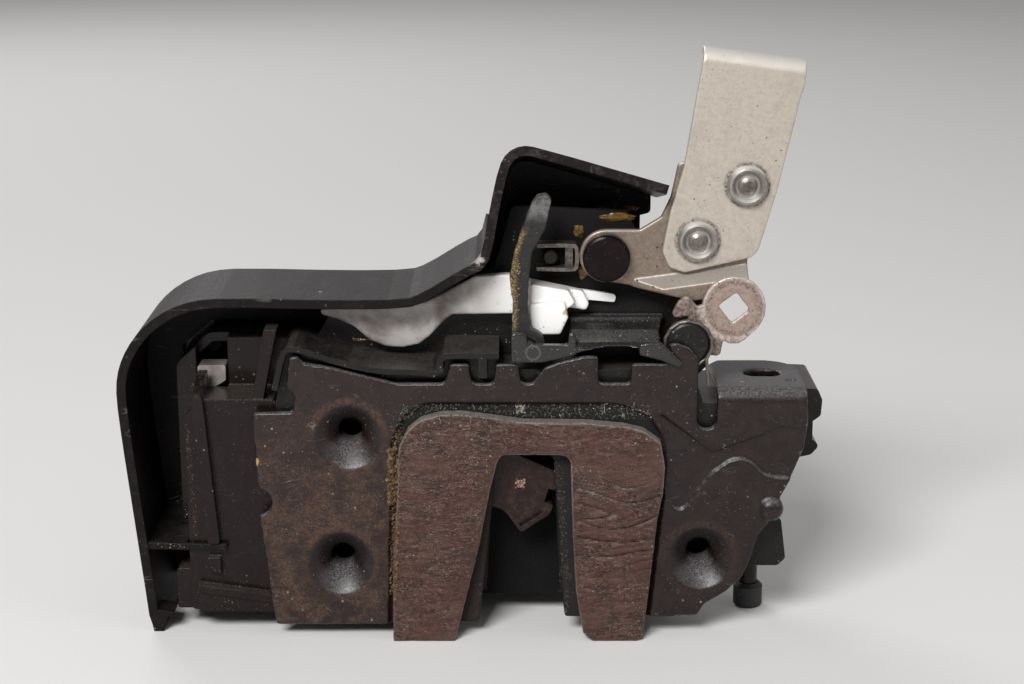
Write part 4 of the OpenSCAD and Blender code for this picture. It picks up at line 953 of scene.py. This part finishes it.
# Geometry Nodes that scatter small lumps, or short hairs, over a net
def scatterTree(name, shape):
    tree = bpy.data.node_groups.new(name, "GeometryNodeTree")
    face = tree.interface
    face.new_socket("Net", in_out="INPUT", socket_type="NodeSocketGeometry")
    for label, kind, value in (("Per square metre", "Float", 1e6), ("Size", "Float", 0.0003),
                               ("Least share", "Float", 0.35), ("Seed", "Int", 1),
                               ("Finish", "Material", None)):
        socket = face.new_socket(label, in_out="INPUT", socket_type="NodeSocket" + kind)
        if value is not None:
            socket.default_value = value
    face.new_socket("Dirt", in_out="OUTPUT", socket_type="NodeSocketGeometry")

    def add(kind, inputs=None, **settings):
        return treeNode(tree, kind, inputs, **settings)

    def wobbled(shape, scale, detail, reach):
        wave = add("ShaderNodeTexNoise", {"Scale": scale, "Detail": detail})
        away = add("ShaderNodeVectorMath", {0: wave.outputs["Color"], 1: (0.5, 0.5, 0.5)},
                   operation="SUBTRACT")
        wide = add("ShaderNodeVectorMath", {0: away.outputs[0], 1: reach}, operation="MULTIPLY")
        return add("GeometryNodeSetPosition", {"Geometry": shape.outputs[0], "Offset": wide.outputs[0]})

    given = add("NodeGroupInput")
    points = add("GeometryNodeDistributePointsOnFaces",
                 {"Mesh": given.outputs["Net"], "Density": given.outputs["Per square metre"],
                  "Seed": given.outputs["Seed"]})
    if shape == "hair":
        line = add("GeometryNodeCurvePrimitiveLine", {"Start": (-0.5, 0, 0), "End": (0.5, 0, 0)})
        finer = add("GeometryNodeResampleCurve", {"Curve": line.outputs[0], "Count": 7})
        bent = wobbled(finer, 1.6, 1.0, (0.5, 1.3, 0.8))
        section = add("GeometryNodeCurvePrimitiveCircle", {"Resolution": 4, "Radius": 0.028})
        lump = add("GeometryNodeCurveToMesh",
                   {"Curve": bent.outputs[0], "Profile Curve": section.outputs[0], "Fill Caps": True})
    else:
        ball = add("GeometryNodeMeshIcoSphere", {"Radius": 0.5, "Subdivisions": 2})
        lump = wobbled(ball, 2.2, 2.0, (1.3, 1.3, 1.3))
    share = add("FunctionNodeRandomValue", data_type="FLOAT")
    least, most = [socket for socket in share.inputs if socket.enabled and socket.name in ("Min", "Max")]
    most.default_value = 1.0
    tree.links.new(given.outputs["Least share"], least)
    number = next(socket for socket in share.outputs if socket.enabled)
    squared = add("ShaderNodeMath", {0: number, 1: 2.0}, operation="POWER")
    size = add("ShaderNodeMath", {0: squared.outputs[0], 1: given.outputs["Size"]}, operation="MULTIPLY")
    turn = add("FunctionNodeRandomValue", data_type="FLOAT_VECTOR")
    vectors = [socket for socket in turn.inputs if socket.enabled and socket.type == "VECTOR"]
    vectors[0].default_value, vectors[1].default_value = (-3.14, -3.14, -3.14), (3.14, 3.14, 3.14)
    turned = next(socket for socket in turn.outputs if socket.enabled)
    onPoints = add("GeometryNodeInstanceOnPoints",
                   {"Points": points.outputs["Points"], "Instance": lump.outputs[0],
                    "Rotation": turned, "Scale": size.outputs[0]})
    real = add("GeometryNodeRealizeInstances", {"Geometry": onPoints.outputs[0]})
    coated = add("GeometryNodeSetMaterial",
                 {"Geometry": real.outputs[0], "Material": given.outputs["Finish"]})
    out = add("NodeGroupOutput")
    tree.links.new(coated.outputs[0], out.inputs[0])
    return tree


scatterKinds = {"crumb": scatterTree("crumbScatter", "crumb"), "hair": scatterTree("hairScatter", "hair")}


# count is per square millimetre, size in mm
def scatter(name, net, kind, count, size, least, seed, finish, body, slot):
    holder = linked(name, net)
    modifier = holder.modifiers.new("scatter", "NODES")
    modifier.node_group = scatterKinds[kind]
    for item in modifier.node_group.interface.items_tree:
        value = {"Per square metre": count * 1e6, "Size": size * mm, "Least share": least, "Seed": seed,
                 "Finish": dirtFinish[finish]}.get(item.name)
        if value is not None:
            modifier[item.identifier] = value
    piece = linked(name, plainMesh(holder))
    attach(piece, body)
    print("scattered", name, len(piece.data.polygons), "faces")


def paintDirt(first, second):
    def paint(tree, where):
        colour = tint(tree, fade(tree, cloud(tree, where, 0.7, 3.0), 0.35, 0.65), first, second)
        return colour, 0.85, cloud(tree, where, 0.15)
    return paint


dirtColours = {
    "brownLint": ((0.19, 0.115, 0.055, 1), (0.065, 0.036, 0.020, 1)),
    "pinkGrit": ((0.42, 0.26, 0.20, 1), (0.22, 0.11, 0.08, 1)),
    "darkGrit": ((0.035, 0.028, 0.025, 1), (0.1, 0.085, 0.07, 1)),
    "paleGrit": ((0.38, 0.35, 0.31, 1), (0.18, 0.155, 0.13, 1)),
    "yellowGrit": ((0.34, 0.24, 0.11, 1), (0.17, 0.125, 0.07, 1)),
}
dirtFinish = {name: finishSurface(name, paintDirt(*colours), 0.0, 0.05, {})
              for name, colours in dirtColours.items()}

dirtPlaces = {
    # name: net (left, right, low, high, step, lean), kind, per mm2, size, least, seed, finish, body, slot
    "lintAtFoam": ((-27.8, -26.2, -24.0, 11.0, 0.35, 0.045),
                   "crumb", 7.0, 0.8, 0.2, 3, "brownLint", "base", "foam"),
    "crustAtFoam": ((-27.9, -25.9, -3.5, 8.0, 0.35, 0.045),
                    "crumb", 11.0, 1.3, 0.2, 4, "brownLint", "base", "foam"),
    "lintHairs": ((-28.0, -25.6, -20.0, 12.5, 0.4, 0.045),
                  "hair", 4.0, 2.0, 0.4, 5, "brownLint", "base", "foam"),
    "gritInGap": ((-25.0, 26.0, 14.2, 17.4, 0.35, 0.0),
                  "crumb", 6.0, 0.5, 0.25, 7, "darkGrit", "base", "foam"),
    "paleInGap": ((-25.0, 26.0, 14.4, 16.6, 0.35, 0.0),
                  "crumb", 0.5, 0.4, 0.25, 17, "paleGrit", "base", "foam"),
    "hairInGap": ((-25.0, 26.0, 14.4, 17.4, 0.35, 0.0),
                  "hair", 0.35, 2.4, 0.4, 8, "paleGrit", "base", "foam"),
    "tuftInGap": ((-1.6, 0.2, 15.4, 17.2, 0.3, 0.0),
                  "crumb", 14.0, 0.6, 0.4, 9, "paleGrit", "base", "foam"),
    "gritOnLips": ((-46.0, 14.0, 24.0, 33.0, 0.6, 0.0),
                   "crumb", 0.35, 0.28, 0.3, 11, "paleGrit", "base", "black_plastic"),
    "gritMouthEdge": ((7.6, 9.8, -29.0, 5.0, 0.35, -0.05),
                      "crumb", 5.0, 0.42, 0.2, 13, "darkGrit", "base", "black_plastic"),
    "crustOnSill": ((-2.7, -1.2, 33.0, 50.5, 0.3, 0.03),
                    "crumb", 5.0, 0.4, 0.25, 21, "yellowGrit", "sill", "black_plastic"),
    "gritOnGuide": ((9.0, 31.0, 27.5, 33.0, 0.5, 0.0),
                    "crumb", 0.5, 0.26, 0.3, 23, "paleGrit", "base", "black_plastic"),
    "gritOnGusset": ((-76.0, -69.5, -15.0, -9.0, 0.5, 0.0),
                     "crumb", 2.6, 0.34, 0.3, 25, "paleGrit", "base", "black_plastic"),
    "dustOnRail": ((-68.3, -67.3, -12.0, 18.0, 0.3, -0.05),
                   "crumb", 6.0, 0.28, 0.25, 27, "brownLint", "base", "black_plastic"),
    "crumbOnClaw": ((-1.7, 0.2, -1.4, 0.5, 0.25, 0.0),
                    "crumb", 12.0, 0.6, 0.5, 29, "pinkGrit", "claw", "dark_jacket"),
    "crumbsByStep": ((-27.5, -23.5, 9.0, 16.5, 0.35, 0.0),
                     "crumb", 3.0, 0.5, 0.3, 31, "darkGrit", "base", "foam"),
}

for place, (area, *values) in dirtPlaces.items():
    scatter(place, patchFrom(place + "Net", *area), *values)
print("dirt ready")

greaseSpots = {
    # name: x, z, half width, half height, thickness in mm; each sits on what the look from the front meets
    "greaseOverPivot": (19.0, 53.4, 3.8, 0.9, 0.5),
    "greaseRightOfPivot": (22.6, 52.3, 1.6, 0.6, 0.4),
    "greaseUnderPivot": (12.4, 42.0, 1.3, 1.3, 0.5),
    "greaseLeftOfPivot": (11.2, 50.4, 1.0, 1.4, 0.4),
    "greaseOnLip": (-33.0, 27.6, 2.4, 0.35, 0.3),
}

greaseFinish = {
    "amber": (0.17, 0.090, 0.010, 1),
    "brown": (0.060, 0.028, 0.004, 1),
    "specks": (0.05, 0.035, 0.02, 1),
    "roughness": 0.18,
    "wobble": 0.45,                 # share by which a blob's outline wanders
}


def paintGrease(tree, where):
    v = greaseFinish
    thick = cloud(tree, where, 1.2, 4.0, 0.6)
    colour = tint(tree, fade(tree, thick, 0.35, 0.65), v["amber"], v["brown"])
    colour = tint(tree, times(tree, dustSpecks(tree, where, 1.5), 0.7), colour, v["specks"])
    return colour, v["roughness"], thick


amberGrease = finishSurface("amberGrease", paintGrease, 0.0, 0.1,
                            {"Subsurface Weight": 0.1, "Subsurface Scale": 0.001})


def buildGrease(name, x, z, wide, high, thick):
    hit, _ = frontHit(x, z)
    work = bmesh.new()
    bmesh.ops.create_icosphere(work, subdivisions=4, radius=1.0)
    for vert in work.verts:
        wobble = 1 + greaseFinish["wobble"] * noise.noise(vert.co * 1.7 + Vector((x, 0, z)))
        reach = vert.co * Vector((wide, thick, high)) * wobble
        vert.co = (Vector((x, hit.y / mm, z)) + reach) * mm
    mesh = bpy.data.meshes.new(name)
    closeMesh(work, mesh, amberGrease)
    blob = linked(name, mesh)
    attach(blob, "base")


for spotName, values in greaseSpots.items():
    buildGrease(spotName, *values)
print("grease ready")
